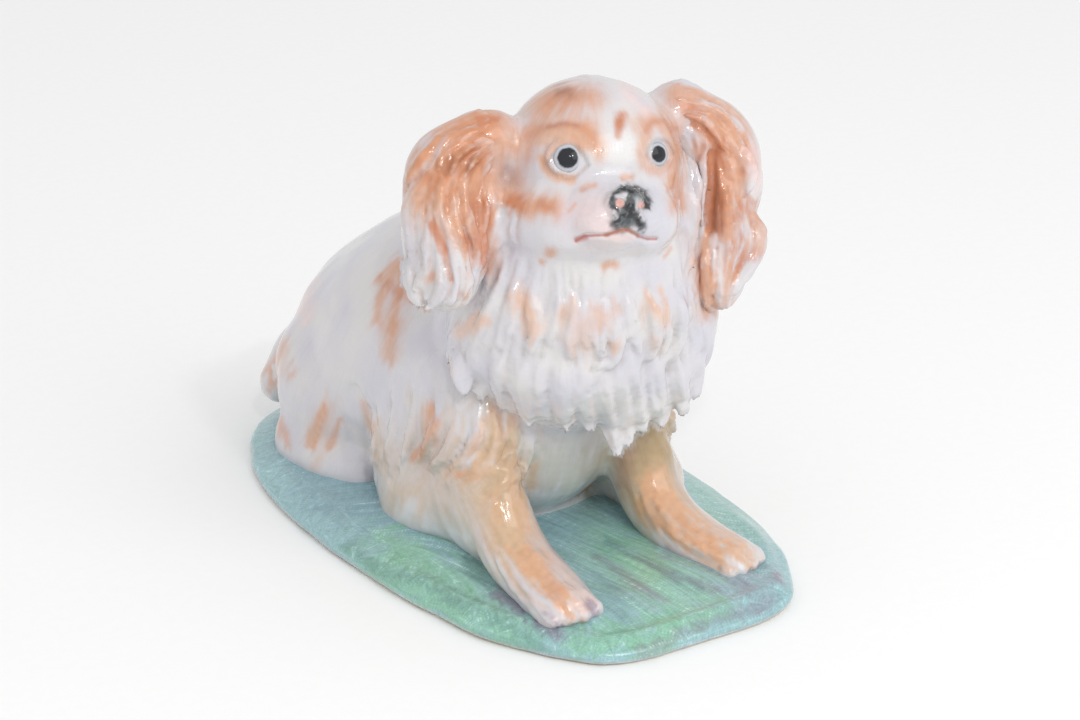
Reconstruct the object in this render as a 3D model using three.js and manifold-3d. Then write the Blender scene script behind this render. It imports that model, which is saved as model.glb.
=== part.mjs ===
// A porcelain spaniel figurine lying on a painted mound base.
// The torso and the head are hollow, each pressed as two halves. The ears, ruff, bib, legs and tail are
// moulded by themselves. Everything is luted together with slip, the thin gap left in every joint.
// Millimetres, +Z up. The dog looks along -Y and its left side is +X. The origin is the middle of the foot.

import * as THREE from "three";
import { mergeVertices } from "three/addons/utils/BufferGeometryUtils.js";
import Module from "manifold-3d";

const wasm = await Module();
wasm.setup();

// Porcelain

const WALL = 4.5; // thickness of the pressed shells
const SLIP = 0.3; // layer of slip in a luted joint

// Base: a low mound with a round rim. The outline is given for one side, from the front to the back.

const BASE = { rimHeight: 5, crownHeight: 8, ventDiameter: 10 };
const BASE_OUTLINE = [
  [0, -91],
  [27, -88],
  [35.5, -79],
  [45.5, -60],
  [50, -38],
  [52.5, -10],
  [52.5, 18],
  [48.5, 46],
  [41.5, 66],
  [33, 80],
  [19, 89.5],
  [0, 91],
];

// Torso: oval sections of a trunk from the tail to the chest, and of a neck that rises out of it.
// Heights are above the mound's crown.

const TRUNK = {
  tailEnd: { y: 75, z: 14, halfWidth: 12, halfDepth: 12 },
  rump: { y: 64, z: 18, halfWidth: 29, halfDepth: 27 },
  loin: { y: 40, z: 27, halfWidth: 34, halfDepth: 37 },
  barrel: { y: 12, z: 36, halfWidth: 34, halfDepth: 42 },
  chest: { y: -12, z: 44, halfWidth: 33, halfDepth: 40 },
};
const NECK = {
  root: { y: -16, z: 54, halfWidth: 30, halfDepth: 27 },
  middle: { y: -24, z: 72, halfWidth: 28, halfDepth: 27 },
  top: { y: -32, z: 89, halfWidth: 22, halfDepth: 20 },
};

// Head: it sits above the top of the neck, turned to the dog's right, lifted, and rolled to its left.

const HEAD = {
  aside: -0.5,
  ahead: 4,
  above: 14.5,
  turnDegrees: 12.5,
  liftDegrees: 10,
  rollDegrees: 6,
  ventDiameter: 14,
};
const SKULL = { y: 3, z: -1, halfWidth: 25, halfDepth: 22, halfHeight: 22 };
const JAW = { ahead: 8, below: 12, halfWidth: 23, halfDepth: 18, halfHeight: 13.5 };
const MUZZLE = { ahead: 13, above: 1.5, halfWidth: 11.5, halfDepth: 12, halfHeight: 8.5 };
const NOSE = { sunk: 1.5, above: 4.5, halfWidth: 5, halfDepth: 3, halfHeight: 4.5 };
const BROW = { apart: 21, sunk: 7.5, above: 1.5, halfWidth: 7.5, halfDepth: 7, halfHeight: 7 };

// Ears: `out` is from the skull's side, `back` and `above` are from its middle.

const RIGHT_EAR = {
  root: { out: 2, back: 0, above: 6, halfWidth: 7, halfDepth: 7 },
  bend: { out: 8, back: 0, above: -2, halfWidth: 10, halfDepth: 9 },
  fullest: { out: 9, back: -1, above: -13, halfWidth: 11.5, halfDepth: 10 },
  lower: { out: 10, back: -3, above: -24, halfWidth: 11, halfDepth: 9 },
  tip: { out: 10, back: -5, above: -31, halfWidth: 8, halfDepth: 6 },
};
const LEFT_EAR = {
  root: { out: 3, back: 1, above: 13, halfWidth: 7.5, halfDepth: 7 },
  bend: { out: 9, back: 0, above: 3, halfWidth: 10.5, halfDepth: 9 },
  fullest: { out: 12, back: -1, above: -10, halfWidth: 12, halfDepth: 10 },
  lower: { out: 9, back: -3, above: -24, halfWidth: 10, halfDepth: 9 },
  tip: { out: 6, back: -5, above: -33, halfWidth: 6, halfDepth: 6 },
};

// Forelegs: `out` is from the chest's side, `ahead` from its middle. Heights are above the mound's crown.

const RIGHT_FORELEG = {
  shoulder: { out: -11, ahead: -1, z: 40, halfWidth: 13, halfDepth: 18 },
  upperArm: { out: -8, ahead: 11, z: 23, halfWidth: 9.5, halfDepth: 13 },
  wrist: { out: -7.5, ahead: 26, z: 6, halfWidth: 7.8, halfDepth: 9 },
  paw: { out: -7, ahead: 44, z: 2.5, halfWidth: 7.2, halfDepth: 7.2 },
  toes: { out: -7.5, ahead: 57, z: 1, halfWidth: 7, halfDepth: 5.8 },
};
const LEFT_FORELEG = {
  shoulder: { out: -13, ahead: 1, z: 42, halfWidth: 13, halfDepth: 16 },
  upperArm: { out: -13, ahead: 18, z: 28, halfWidth: 9.5, halfDepth: 11 },
  wrist: { out: -12.5, ahead: 28, z: 10, halfWidth: 8.4, halfDepth: 9 },
  paw: { out: -11.5, ahead: 46, z: 2.5, halfWidth: 7.4, halfDepth: 7.2 },
  toes: { out: -10, ahead: 60, z: 1, halfWidth: 7.2, halfDepth: 5.8 },
};
const ELBOW = {
  rear: { out: -4, ahead: -15, z: 2, halfWidth: 5, halfDepth: 11 },
  middle: { out: -7, ahead: -3, z: 12, halfWidth: 7.8, halfDepth: 18 },
  front: { out: -8, ahead: 10, z: 13, halfWidth: 8, halfDepth: 16 },
};

// Hind legs: `out` is from the loin's side, `back` from its middle.

const HAUNCH = { out: -13, back: 10, z: 17, halfWidth: 16, halfDepth: 25, halfHeight: 24 };
const HIND_FOOT = {
  heel: { out: -3, back: 18, z: 3, halfWidth: 7, halfDepth: 8 },
  middle: { out: -4, back: 4, z: 3, halfWidth: 8, halfDepth: 7 },
  toes: { out: -7, back: -10, z: 2, halfWidth: 8, halfDepth: 6 },
};

// Tail: on the dog's right. `out` is from the rump's side, `back` from its middle.

const TAIL = {
  root: { out: -17, back: 8, z: 24, halfWidth: 7, halfDepth: 7 },
  middle: { out: -10, back: 15, z: 14, halfWidth: 8, halfDepth: 7 },
  tip: { out: -4, back: 18, z: 4, halfWidth: 5, halfDepth: 5 },
};

// Hair tiers: tufts hang from an oval ring round the neck, from root to belly to tip.
// `out`, `ahead` and `above` are from the side, the front and the height of the neck's middle.

const RUFF = {
  aside: 3,
  tufts: 11,
  spreadDegrees: 200,
  root: { out: -3, ahead: 4, above: 12, halfWidth: 9, halfDepth: 5 },
  belly: { out: 2, ahead: 4, above: -6, halfWidth: 10, halfDepth: 5 },
  tip: { out: 4, ahead: 5, above: -18, halfWidth: 4, halfDepth: 2.5 },
};
const BIB = {
  aside: 2,
  tufts: 9,
  spreadDegrees: 130,
  root: { out: 0, ahead: 1, above: -10, halfWidth: 8, halfDepth: 6 },
  belly: { out: 0, ahead: 0, above: -26, halfWidth: 9, halfDepth: 6 },
  tip: { out: -3, ahead: -1, above: -38, halfWidth: 4, halfDepth: 2.5 },
};

// Facets

const OUTLINE_SIDES = 56;
const RIM_STEPS = 4;
const MOUND_STEPS = 4;
const VENT_SIDES = 20;
const BALL_FACETS = { sides: 18, rings: 10 };
const TORSO_FACETS = { sides: 22, steps: 8, capRings: 4 };
const HOLLOW_FACETS = { sides: 16, steps: 6, capRings: 3, rings: 8 };
const LIMB_FACETS = { sides: 10, steps: 8, capRings: 3 };
const TUFT_FACETS = { sides: 6, steps: 4, capRings: 2 };

const ACROSS = new THREE.Vector3(1, 0, 0);
const FORE_AFT = new THREE.Vector3(0, 1, 0);
const UPRIGHT = new THREE.Vector3(0, 0, 1);
const [RIGHT, LEFT] = [-1, 1];
const [FRONT, REAR] = [-1, 1];
const BELOW = -1;
const QUARTER_TURN = Math.PI / 2;

// Groups: the dog stands on the mound's crown, and the head turns on the dog.

const figurine = new THREE.Group();
const dog = new THREE.Group();
const head = new THREE.Group();
figurine.add(dog);
dog.add(head);
dog.position.z = BASE.crownHeight;
head.position.set(HEAD.aside, NECK.top.y - HEAD.ahead, NECK.top.z + HEAD.above);
head.rotation.set(
  THREE.MathUtils.degToRad(-HEAD.liftDegrees),
  THREE.MathUtils.degToRad(HEAD.rollDegrees),
  THREE.MathUtils.degToRad(-HEAD.turnDegrees),
  "ZXY",
);
figurine.updateMatrixWorld(true);

// Solids, all in the figurine's frame

function solidOf(geometry) {
  geometry.deleteAttribute("normal");
  geometry.deleteAttribute("uv");
  const merged = mergeVertices(geometry);
  return new wasm.Manifold(
    new wasm.Mesh({
      numProp: 3,
      vertProperties: merged.attributes.position.array,
      triVerts: new Uint32Array(merged.index.array),
    }),
  );
}

const fuse = (...solids) => solids.reduce((all, next) => all.add(next));
const cut = (solid, ...cutters) => cutters.reduce((left, cutter) => left.subtract(cutter), solid);

// An ellipsoid in a group's frame, swelled by `grow`.
function ball(form, group, grow, facets = BALL_FACETS) {
  const geometry = new THREE.SphereGeometry(1, facets.sides, facets.rings);
  geometry.scale(form.halfWidth + grow, form.halfDepth + grow, form.halfHeight + grow);
  geometry.translate(form.x, form.y, form.z);
  return solidOf(geometry.applyMatrix4(group.matrixWorld));
}

// A closed skin over rings of as many points each, run from the start pole to the end pole.
function skin(startPole, rings, endPole) {
  const sides = rings[0].length;
  const last = rings.length - 1;
  const at = (ring, side) => 2 + ring * sides + (side % sides);
  const triangles = [];
  for (let side = 0; side < sides; side++) {
    triangles.push(0, at(0, side + 1), at(0, side));
    for (let ring = 0; ring < last; ring++) {
      triangles.push(at(ring, side), at(ring, side + 1), at(ring + 1, side + 1));
      triangles.push(at(ring, side), at(ring + 1, side + 1), at(ring + 1, side));
    }
    triangles.push(1, at(last, side), at(last, side + 1));
  }
  return new THREE.BufferGeometry().setFromPoints([startPole, endPole, ...rings.flat()]).setIndex(triangles);
}

// A loft through oval sections with round ends, in a group's frame, swelled by `grow`.
// A section's half width runs along `across`, and its half depth is square to that and to the path.
function loft(sections, across, facets, group, grow) {
  const path = new THREE.CatmullRomCurve3(sections.map(({ x, y, z }) => new THREE.Vector3(x, y, z)));
  const sizes = new THREE.CatmullRomCurve3(
    sections.map((section) => new THREE.Vector3(section.halfWidth + grow, section.halfDepth + grow, 0)),
  );
  // A point past the end of the path at t, by a share of the section's lesser half size.
  const beyond = (t, share) => {
    const { x: halfWidth, y: halfDepth } = sizes.getPoint(t);
    return path.getPoint(t).addScaledVector(path.getTangent(t), share * Math.min(halfWidth, halfDepth));
  };
  const ring = (t, swell, share) => {
    const depthWay = path.getTangent(t).cross(across).normalize();
    const widthWay = depthWay.clone().cross(path.getTangent(t));
    const { x: halfWidth, y: halfDepth } = sizes.getPoint(t);
    return Array.from({ length: facets.sides }, (_, side) => {
      const angle = (4 * QUARTER_TURN * side) / facets.sides;
      return beyond(t, share)
        .addScaledVector(widthWay, halfWidth * swell * Math.cos(angle))
        .addScaledVector(depthWay, halfDepth * swell * Math.sin(angle));
    });
  };
  const rings = [];
  for (let cap = 1; cap < facets.capRings; cap++) {
    const angle = QUARTER_TURN * (cap / facets.capRings);
    rings.push(ring(0, Math.sin(angle), -Math.cos(angle)));
  }
  for (let step = 0; step <= facets.steps; step++) rings.push(ring(step / facets.steps, 1, 0));
  for (let cap = facets.capRings - 1; cap > 0; cap--) {
    const angle = QUARTER_TURN * (cap / facets.capRings);
    rings.push(ring(1, Math.sin(angle), Math.cos(angle)));
  }
  return solidOf(skin(beyond(0, -1), rings, beyond(1, 1)).applyMatrix4(group.matrixWorld));
}

// The half of all space on one side of a group's middle plane, less half a layer of slip.
function halfSpace(way, side, group) {
  const reach = 4 * BASE_OUTLINE.at(-1)[1];
  const middle = way.clone().multiplyScalar(side * (reach / 2 + SLIP / 2));
  const geometry = new THREE.BoxGeometry(reach, reach, reach).translate(middle.x, middle.y, middle.z);
  return solidOf(geometry.applyMatrix4(group.matrixWorld));
}

// Forms of the pieces before their neighbours are cut away

function baseForm(grow = 0) {
  const oneSide = BASE_OUTLINE.map(([x, y]) => new THREE.Vector3(x, y, 0));
  const otherSide = BASE_OUTLINE.slice(1, -1).map(([x, y]) => new THREE.Vector3(-x, y, 0));
  const outline = new THREE.CatmullRomCurve3([...oneSide, ...otherSide.reverse()], true);
  const points = outline.getSpacedPoints(OUTLINE_SIDES).slice(0, OUTLINE_SIDES);
  const halfSize = new THREE.Box3().setFromPoints(points).max;
  const ring = (inset, share, z) =>
    points.map(
      ({ x, y }) =>
        new THREE.Vector3(x * share * (1 - inset / halfSize.x), y * share * (1 - inset / halfSize.y), z),
    );
  const rimRadius = BASE.rimHeight / 2;
  const rings = [];
  for (let step = 0; step <= RIM_STEPS; step++) {
    const angle = QUARTER_TURN * ((2 * step) / RIM_STEPS - 1);
    const round = rimRadius + grow;
    rings.push(ring(rimRadius - round * Math.cos(angle), 1, rimRadius + round * Math.sin(angle)));
  }
  const rise = BASE.crownHeight - BASE.rimHeight;
  for (let step = 1; step < MOUND_STEPS; step++) {
    const share = 1 - step / MOUND_STEPS;
    rings.push(ring(rimRadius, share, BASE.rimHeight + grow + rise * (1 - share ** 2)));
  }
  const foot = new THREE.Vector3(0, 0, -grow);
  const crown = new THREE.Vector3(0, 0, BASE.crownHeight + grow);
  return solidOf(skin(foot, rings, crown));
}

const inMiddle = (sections) => Object.values(sections).map((section) => ({ ...section, x: 0 }));
const torsoForm = (grow = 0, facets = TORSO_FACETS) =>
  fuse(loft(inMiddle(TRUNK), ACROSS, facets, dog, grow), loft(inMiddle(NECK), ACROSS, facets, dog, grow));
const torsoHollow = () => torsoForm(-WALL, HOLLOW_FACETS);

const skull = { ...SKULL, x: 0 };
const jaw = { ...JAW, x: 0, y: skull.y - JAW.ahead, z: skull.z - JAW.below };
const muzzle = { ...MUZZLE, x: 0, y: jaw.y - MUZZLE.ahead, z: jaw.z + MUZZLE.above };
const nose = { ...NOSE, x: 0, y: muzzle.y - muzzle.halfDepth + NOSE.sunk, z: muzzle.z + NOSE.above };
const brows = [RIGHT, LEFT].map((side) => ({
  ...BROW,
  x: (side * BROW.apart) / 2,
  y: skull.y - skull.halfDepth + BROW.sunk,
  z: skull.z + BROW.above,
}));
const features = [skull, jaw, muzzle, nose, ...brows];
const headForm = (grow = 0) => fuse(...features.map((form) => ball(form, head, grow)));
const headHollow = () => fuse(...[skull, jaw].map((form) => ball(form, head, -WALL, HOLLOW_FACETS)));

const earForm = (sections, side, grow = 0) =>
  loft(
    Object.values(sections).map(({ out, back, above, ...size }) => ({
      ...size,
      x: side * (skull.halfWidth + out),
      y: skull.y + back,
      z: skull.z + above,
    })),
    ACROSS,
    LIMB_FACETS,
    head,
    grow,
  );

const besideChest = (sections, side) =>
  Object.values(sections).map(({ out, ahead, ...rest }) => ({
    ...rest,
    x: side * (TRUNK.chest.halfWidth + out),
    y: TRUNK.chest.y - ahead,
  }));
const forelegForm = (sections, side, grow = 0) =>
  fuse(
    loft(besideChest(sections, side), ACROSS, LIMB_FACETS, dog, grow),
    loft(besideChest(ELBOW, side), ACROSS, LIMB_FACETS, dog, grow),
  );

const besideLoin = ({ out, back, ...rest }, side) => ({
  ...rest,
  x: side * (TRUNK.loin.halfWidth + out),
  y: TRUNK.loin.y + back,
});
const hindLegForm = (side, grow = 0) => {
  const foot = Object.values(HIND_FOOT).map((section) => besideLoin(section, side));
  return fuse(ball(besideLoin(HAUNCH, side), dog, grow), loft(foot, ACROSS, LIMB_FACETS, dog, grow));
};

const tailForm = () =>
  loft(
    Object.values(TAIL).map(({ out, back, ...rest }) => ({
      ...rest,
      x: RIGHT * (TRUNK.rump.halfWidth + out),
      y: TRUNK.rump.y + back,
    })),
    ACROSS,
    LIMB_FACETS,
    dog,
    0,
  );

function tierForm(tier, grow = 0) {
  const neck = NECK.middle;
  const tufts = Array.from({ length: tier.tufts }, (_, index) => {
    const angle = THREE.MathUtils.degToRad(tier.spreadDegrees * (index / (tier.tufts - 1) - 0.5));
    const sections = [tier.root, tier.belly, tier.tip].map(({ out, ahead, above, ...size }) => ({
      ...size,
      x: tier.aside + (neck.halfWidth + out) * Math.sin(angle),
      y: neck.y - (neck.halfDepth + ahead) * Math.cos(angle),
      z: neck.z + above,
    }));
    const alongRing = new THREE.Vector3(Math.cos(angle), Math.sin(angle), 0);
    return loft(sections, alongRing, TUFT_FACETS, dog, grow);
  });
  return fuse(...tufts);
}

// Pieces

const WHITE_GLAZE = { color: 0xe9e8ee, roughness: 0.12, metalness: 0 };
const FAWN_GLAZE = { color: 0xdcae86, roughness: 0.12, metalness: 0 };
const GREEN_GLAZE = { color: 0x86b5ab, roughness: 0.12, metalness: 0 };

function piece(name, solid, finish, group) {
  const { vertProperties, triVerts } = solid.getMesh();
  const geometry = new THREE.BufferGeometry();
  geometry.setAttribute("position", new THREE.BufferAttribute(vertProperties, 3));
  geometry.setIndex(new THREE.BufferAttribute(triVerts, 1));
  geometry.applyMatrix4(group.matrixWorld.clone().invert());
  geometry.computeVertexNormals();
  const mesh = new THREE.Mesh(geometry, new THREE.MeshStandardMaterial(finish));
  mesh.name = name;
  group.add(mesh);
}

// A vent under the belly lets the air out of the torso as it is fired.
const baseVentRadius = BASE.ventDiameter / 2;
const baseVent = new THREE.CylinderGeometry(baseVentRadius, baseVentRadius, 4 * BASE.crownHeight, VENT_SIDES)
  .rotateX(QUARTER_TURN)
  .translate(0, TRUNK.barrel.y, 0);
piece("base_mound", cut(baseForm(), solidOf(baseVent)), GREEN_GLAZE, figurine);

// What stands on the base is trimmed by it and by all the space under it.
const ground = fuse(baseForm(SLIP), halfSpace(UPRIGHT, BELOW, figurine));

const torso = cut(torsoForm(), torsoHollow(), ground, headForm(SLIP));
piece("torso_right_half", torso.intersect(halfSpace(ACROSS, RIGHT, dog)), WHITE_GLAZE, dog);
piece("torso_left_half", torso.intersect(halfSpace(ACROSS, LEFT, dog)), WHITE_GLAZE, dog);

// A vent through the head's floor joins the two hollows.
const headVent = { halfWidth: HEAD.ventDiameter / 2, halfDepth: HEAD.ventDiameter / 2 };
const headVentPath = [
  { ...head.position, ...headVent },
  { ...NECK.middle, x: 0, ...headVent },
];
const neckVent = loft(headVentPath, ACROSS, LIMB_FACETS, dog, 0);
const headShell = cut(headForm(), headHollow(), neckVent);
piece("head_face_half", headShell.intersect(halfSpace(FORE_AFT, FRONT, head)), WHITE_GLAZE, head);
piece("head_back_half", headShell.intersect(halfSpace(FORE_AFT, REAR, head)), WHITE_GLAZE, head);

piece("right_ear", cut(earForm(RIGHT_EAR, RIGHT), headForm(SLIP), torsoForm(SLIP)), FAWN_GLAZE, head);
piece("left_ear", cut(earForm(LEFT_EAR, LEFT), headForm(SLIP), torsoForm(SLIP)), FAWN_GLAZE, head);

const ears = fuse(earForm(RIGHT_EAR, RIGHT, SLIP), earForm(LEFT_EAR, LEFT, SLIP));
piece("neck_ruff", cut(tierForm(RUFF), torsoForm(SLIP), headForm(SLIP), ears), WHITE_GLAZE, dog);
piece("chest_bib", cut(tierForm(BIB), torsoForm(SLIP), tierForm(RUFF, SLIP), ears), WHITE_GLAZE, dog);

const hair = fuse(tierForm(RUFF, SLIP), tierForm(BIB, SLIP), ears);
for (const [word, side, sections] of [
  ["right", RIGHT, RIGHT_FORELEG],
  ["left", LEFT, LEFT_FORELEG],
]) {
  const foreleg = cut(forelegForm(sections, side), torsoForm(SLIP), ground, hair);
  piece(`${word}_foreleg`, foreleg, FAWN_GLAZE, dog);
  piece(`${word}_hind_leg`, cut(hindLegForm(side), torsoForm(SLIP), ground), WHITE_GLAZE, dog);
}
piece("tail", cut(tailForm(), torsoForm(SLIP), hindLegForm(RIGHT, SLIP), ground), WHITE_GLAZE, dog);

export default figurine;
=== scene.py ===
# A glazed porcelain spaniel lying on a painted mound base.
# It is blocked out from balls, bridged ovals and ropes of hair, worked over as clay, then enamelled and
# glazed. Forms and places are written in millimetres, in the frame's axes. Locks of hair, carvings and
# strokes of enamel are written in pixels of the picture, as the modeller and the painter see the figurine.

from collections import namedtuple
from math import cos, pi, radians, sin

import bpy
import numpy as np
from mathutils import Matrix, Vector
from mathutils.bvhtree import BVHTree


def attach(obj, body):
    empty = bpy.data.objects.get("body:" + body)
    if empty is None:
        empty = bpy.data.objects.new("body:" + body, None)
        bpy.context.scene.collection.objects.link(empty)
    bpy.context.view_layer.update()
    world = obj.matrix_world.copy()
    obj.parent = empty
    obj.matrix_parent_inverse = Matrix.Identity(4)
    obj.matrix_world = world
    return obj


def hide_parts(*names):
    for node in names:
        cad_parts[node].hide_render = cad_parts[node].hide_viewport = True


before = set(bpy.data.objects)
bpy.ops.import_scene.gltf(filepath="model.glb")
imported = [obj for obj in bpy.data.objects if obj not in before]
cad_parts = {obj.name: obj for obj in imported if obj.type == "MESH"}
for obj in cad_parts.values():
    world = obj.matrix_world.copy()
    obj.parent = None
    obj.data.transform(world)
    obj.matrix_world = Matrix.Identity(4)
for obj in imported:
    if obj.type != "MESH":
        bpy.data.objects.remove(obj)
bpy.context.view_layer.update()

MM = 0.001
TINY = 1e-6

# Camera

PICTURE_WIDTH, PICTURE_HEIGHT = 1080, 720
LENS, SENSOR = 107.5, 36.0
CAMERA_AIM = Vector((4.5, -9.4, 47.2))
CAMERA_DISTANCE = 850.0
CAMERA_TURN, CAMERA_RISE = radians(-34.15), radians(22.94)
CAMERA_REACH = 10
TO_CAMERA = Vector(
    (sin(CAMERA_TURN) * cos(CAMERA_RISE), -cos(CAMERA_TURN) * cos(CAMERA_RISE), sin(CAMERA_RISE))
)
LENS_PLACE = CAMERA_AIM + CAMERA_DISTANCE * TO_CAMERA
PIXEL = CAMERA_DISTANCE * SENSOR / LENS / PICTURE_WIDTH


def add_camera():
    bpy.ops.object.camera_add(location=LENS_PLACE * MM, rotation=(pi / 2 - CAMERA_RISE, 0, CAMERA_TURN))
    camera = bpy.context.object
    camera.data.lens = LENS
    camera.data.sensor_width = SENSOR
    camera.data.clip_end = CAMERA_REACH
    bpy.context.scene.camera = camera
    bpy.context.view_layer.update()
    return camera


camera = add_camera()

# Forms, in millimetres

Section = namedtuple("Section", "x y z half_width half_depth")
Ball = namedtuple("Ball", "x y z half_width half_depth half_height")

TRUNK = [
    Section(0, 75, 22, 12, 12),
    Section(0, 64, 26, 29, 27),
    Section(0, 40, 35, 34, 37),
    Section(0, 12, 44, 34, 42),
    Section(0, -10, 51, 33, 40),
    Section(0, -22, 60, 27, 27),
]
NECK = [Section(0, -16, 62, 30, 27), Section(0, -24, 80, 28, 27), Section(0, -32, 97, 22, 20)]
CHEST_FALL = [
    Section(2, -23, 48, 22, 18),
    Section(2, -13, 28, 20, 13),
    Section(3, -8, 14, 20, 12),
    Section(3, -8, 3, 20, 13),
]
RIGHT_FORELEG = [
    Section(-22, -11, 48, 13, 18),
    Section(-25, -22, 31, 9.5, 13),
    Section(-25, -33, 19, 8.6, 10.5),
    Section(-25.5, -43, 12, 8.8, 8),
    Section(-26, -56, 9.2, 9.2, 6.2),
    Section(-27, -68, 7.8, 8.8, 5),
]
LEFT_FORELEG = [
    Section(20, -13, 50, 13, 16),
    Section(20, -29, 36, 9.5, 11),
    Section(19.5, -35, 22, 8.8, 9.5),
    Section(20, -43, 13, 8.4, 8.2),
    Section(21.5, -57, 8.8, 9, 6.2),
    Section(24.5, -69, 7.4, 8.6, 5),
]
ELBOW = [
    Section(24, -8, 42, 11, 22),
    Section(27, 1, 29, 8.5, 20),
    Section(28.5, -0.5, 18, 7.5, 19),
    Section(29, -3, 10, 7, 18),
]
FOREARM = [
    Section(28, 2, 10, 6, 9),
    Section(25, -9, 18, 9.5, 16),
    Section(24.5, -21, 20, 9.5, 16),
    Section(25, -33, 15, 8.2, 11),
]
SLEEVE = Ball(23.5, -16, 42, 12, 19, 16)
HAUNCH = Ball(21, 50, 25, 16, 25, 24)
HIND_FOOT = [Section(31, 58, 8, 7, 10), Section(30, 44, 8, 8, 9), Section(27, 30, 8, 8, 7.5)]
TAIL = [Section(-12, 68, 34, 9, 9), Section(-18, 75, 25, 10, 9), Section(-23, 80, 16, 7.5, 6.5)]
TOES, TOE_RADIUS, TOE_HALF_LENGTH = 4, 2.7, 4.2
TOE_SPREAD, TOE_AHEAD, TOE_FALL = 3.9, 3.0, 0.9

# The head has axes of its own, turned to the dog's right, lifted, and rolled to its left.

HEAD_PLACE = Vector((-0.5, -36, 111.5))
HEAD_TURN, HEAD_LIFT, HEAD_ROLL = radians(-12.5), radians(-10), radians(6)
HEAD = (
    Matrix.Translation(HEAD_PLACE)
    @ Matrix.Rotation(HEAD_TURN, 4, "Z")
    @ Matrix.Rotation(HEAD_LIFT, 4, "X")
    @ Matrix.Rotation(HEAD_ROLL, 4, "Y")
)
SKULL = Ball(3.4, 3, -1, 23, 22.4, 22)
JAW = Ball(0, -4.5, -13, 24, 18.5, 14)
MUZZLE = Ball(-0.5, -17.5, -11, 11.5, 11, 9)
CHEEK_PADS = [Ball(-9, -12, -13, 11, 10, 9.5), Ball(9.4, -14.2, -12.5, 10.4, 10.2, 9.5)]
EAR_ROOTS = [
    Ball(-24, 4, 5, 9, 8, 8),
    Ball(26, 4, 11.5, 8, 8, 8),
    Ball(-26, 1, -13, 6, 8, 13),
    Ball(28, 1, -11, 6, 8, 13),
]
NOSE = Ball(0.2, -26.6, -6.6, 5.2, 3.0, 4.1)
LIPS = [Ball(-4.9, -23, -11.2, 6.5, 5.4, 4.4), Ball(5.2, -22, -11.2, 7.2, 5.6, 4.6)]
NAPE = Ball(0, -20, 98, 21, 17, 17)
RIGHT_EAR = [
    Section(-26, 4, 5, 8, 7.5),
    Section(-33, 4, 0, 10.3, 9.6),
    Section(-34.5, 3, -12, 11.3, 9.8),
    Section(-35, 1, -23, 10.8, 9),
    Section(-36, -1, -29.5, 8.4, 7.2),
]
LEFT_EAR = [
    Section(27, 4, 12, 8, 7.5),
    Section(36, 4, 4, 10.8, 9.6),
    Section(39, 3, -7, 11, 10.2),
    Section(38, 2.4, -13.5, 9.6, 9.8),
    Section(39.5, 1.5, -21, 11.4, 9.6),
    Section(36.5, -1, -32, 8, 7),
]

# The face: boxes and the middles of the eyes in pixels of the picture, and sizes in millimetres

MUZZLE_BOX, NOSE_BOX = (568, 178, 668, 250), (609, 185, 650, 230)
EYE_PIXELS = {"right": (567.6, 157.6), "left": (659.9, 153.9)}
EYE_LOOK = {"right": Vector((-0.4, -0.88, 0.24)), "left": Vector((0.22, -0.96, 0.2))}
EYE_RADIUS, EYE_PROUD = {"right": 5.6, "left": 5.0}, 1.3
LID_RADIUS, LID_THICKNESS, LID_SUNK, LID_HEIGHT = 4.7, 0.8, 1.9, 0.8
SOCKET, SOCKET_SUNK = (6.8, 6.2, 4.2), 5.2

RUFF_CORE = [
    Section(1, -37, 100, 23.5, 20.5),
    Section(1.5, -35, 90, 29.5, 25),
    Section(2, -31.5, 79, 34.5, 28.5),
    Section(2.5, -29, 68, 34.5, 27),
]
BIB_CORE = [
    Section(2, -29, 74, 34, 28),
    Section(1.5, -29, 65, 34.5, 28.5),
    Section(2, -28, 57, 30, 25),
    Section(2.5, -26, 50.5, 25, 20),
    Section(2.5, -23, 46, 15, 12),
]
RUFF_SIDES = [
    Ball(25.5, -41.5, 67, 10.5, 11, 19),
    Ball(18, -42.5, 57, 13, 11, 16),
    Ball(8, -43, 54, 13, 10.5, 15),
]

BASE_RIM_HEIGHT, BASE_CROWN_HEIGHT = 5.0, 8.0
BASE_VENT_RADIUS, BASE_VENT_DEPTH, BASE_VENT_Y = 5.0, 30.0, 12.0
BASE_CROWN_REACH, BASE_LIP_HEIGHT, BASE_LIP_INSET = 24.0, 1.0, 5.0
BODY_BOTTOM = 2.0
BASE_OUTLINE = [
    (0, -91), (27, -88), (35.5, -79), (45.5, -60), (50, -38), (52.5, -10),
    (52.5, 18), (48.5, 46), (41.5, 66), (33, 80), (19, 89.5), (0, 91),
]
WHOLE_OUTLINE = BASE_OUTLINE + [(-x, y) for x, y in BASE_OUTLINE[-2:0:-1]]

# The grain of the clay is the size of its smallest facet.

RING_SIDES, RING_CUTS = 32, 10
CORE_GRAIN, BODY_GRAIN, HEAD_GRAIN, EAR_GRAIN, BASE_GRAIN = 1.2, 0.86, 0.68, 0.5, 0.75
ACROSS = Vector((1, 0, 0))
RIGHT, LEFT = -1, 1

# Locks of hair in the picture: half width in pixels, height in millimetres, points from root to tip

Lock = namedtuple("Lock", "width height points")

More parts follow.
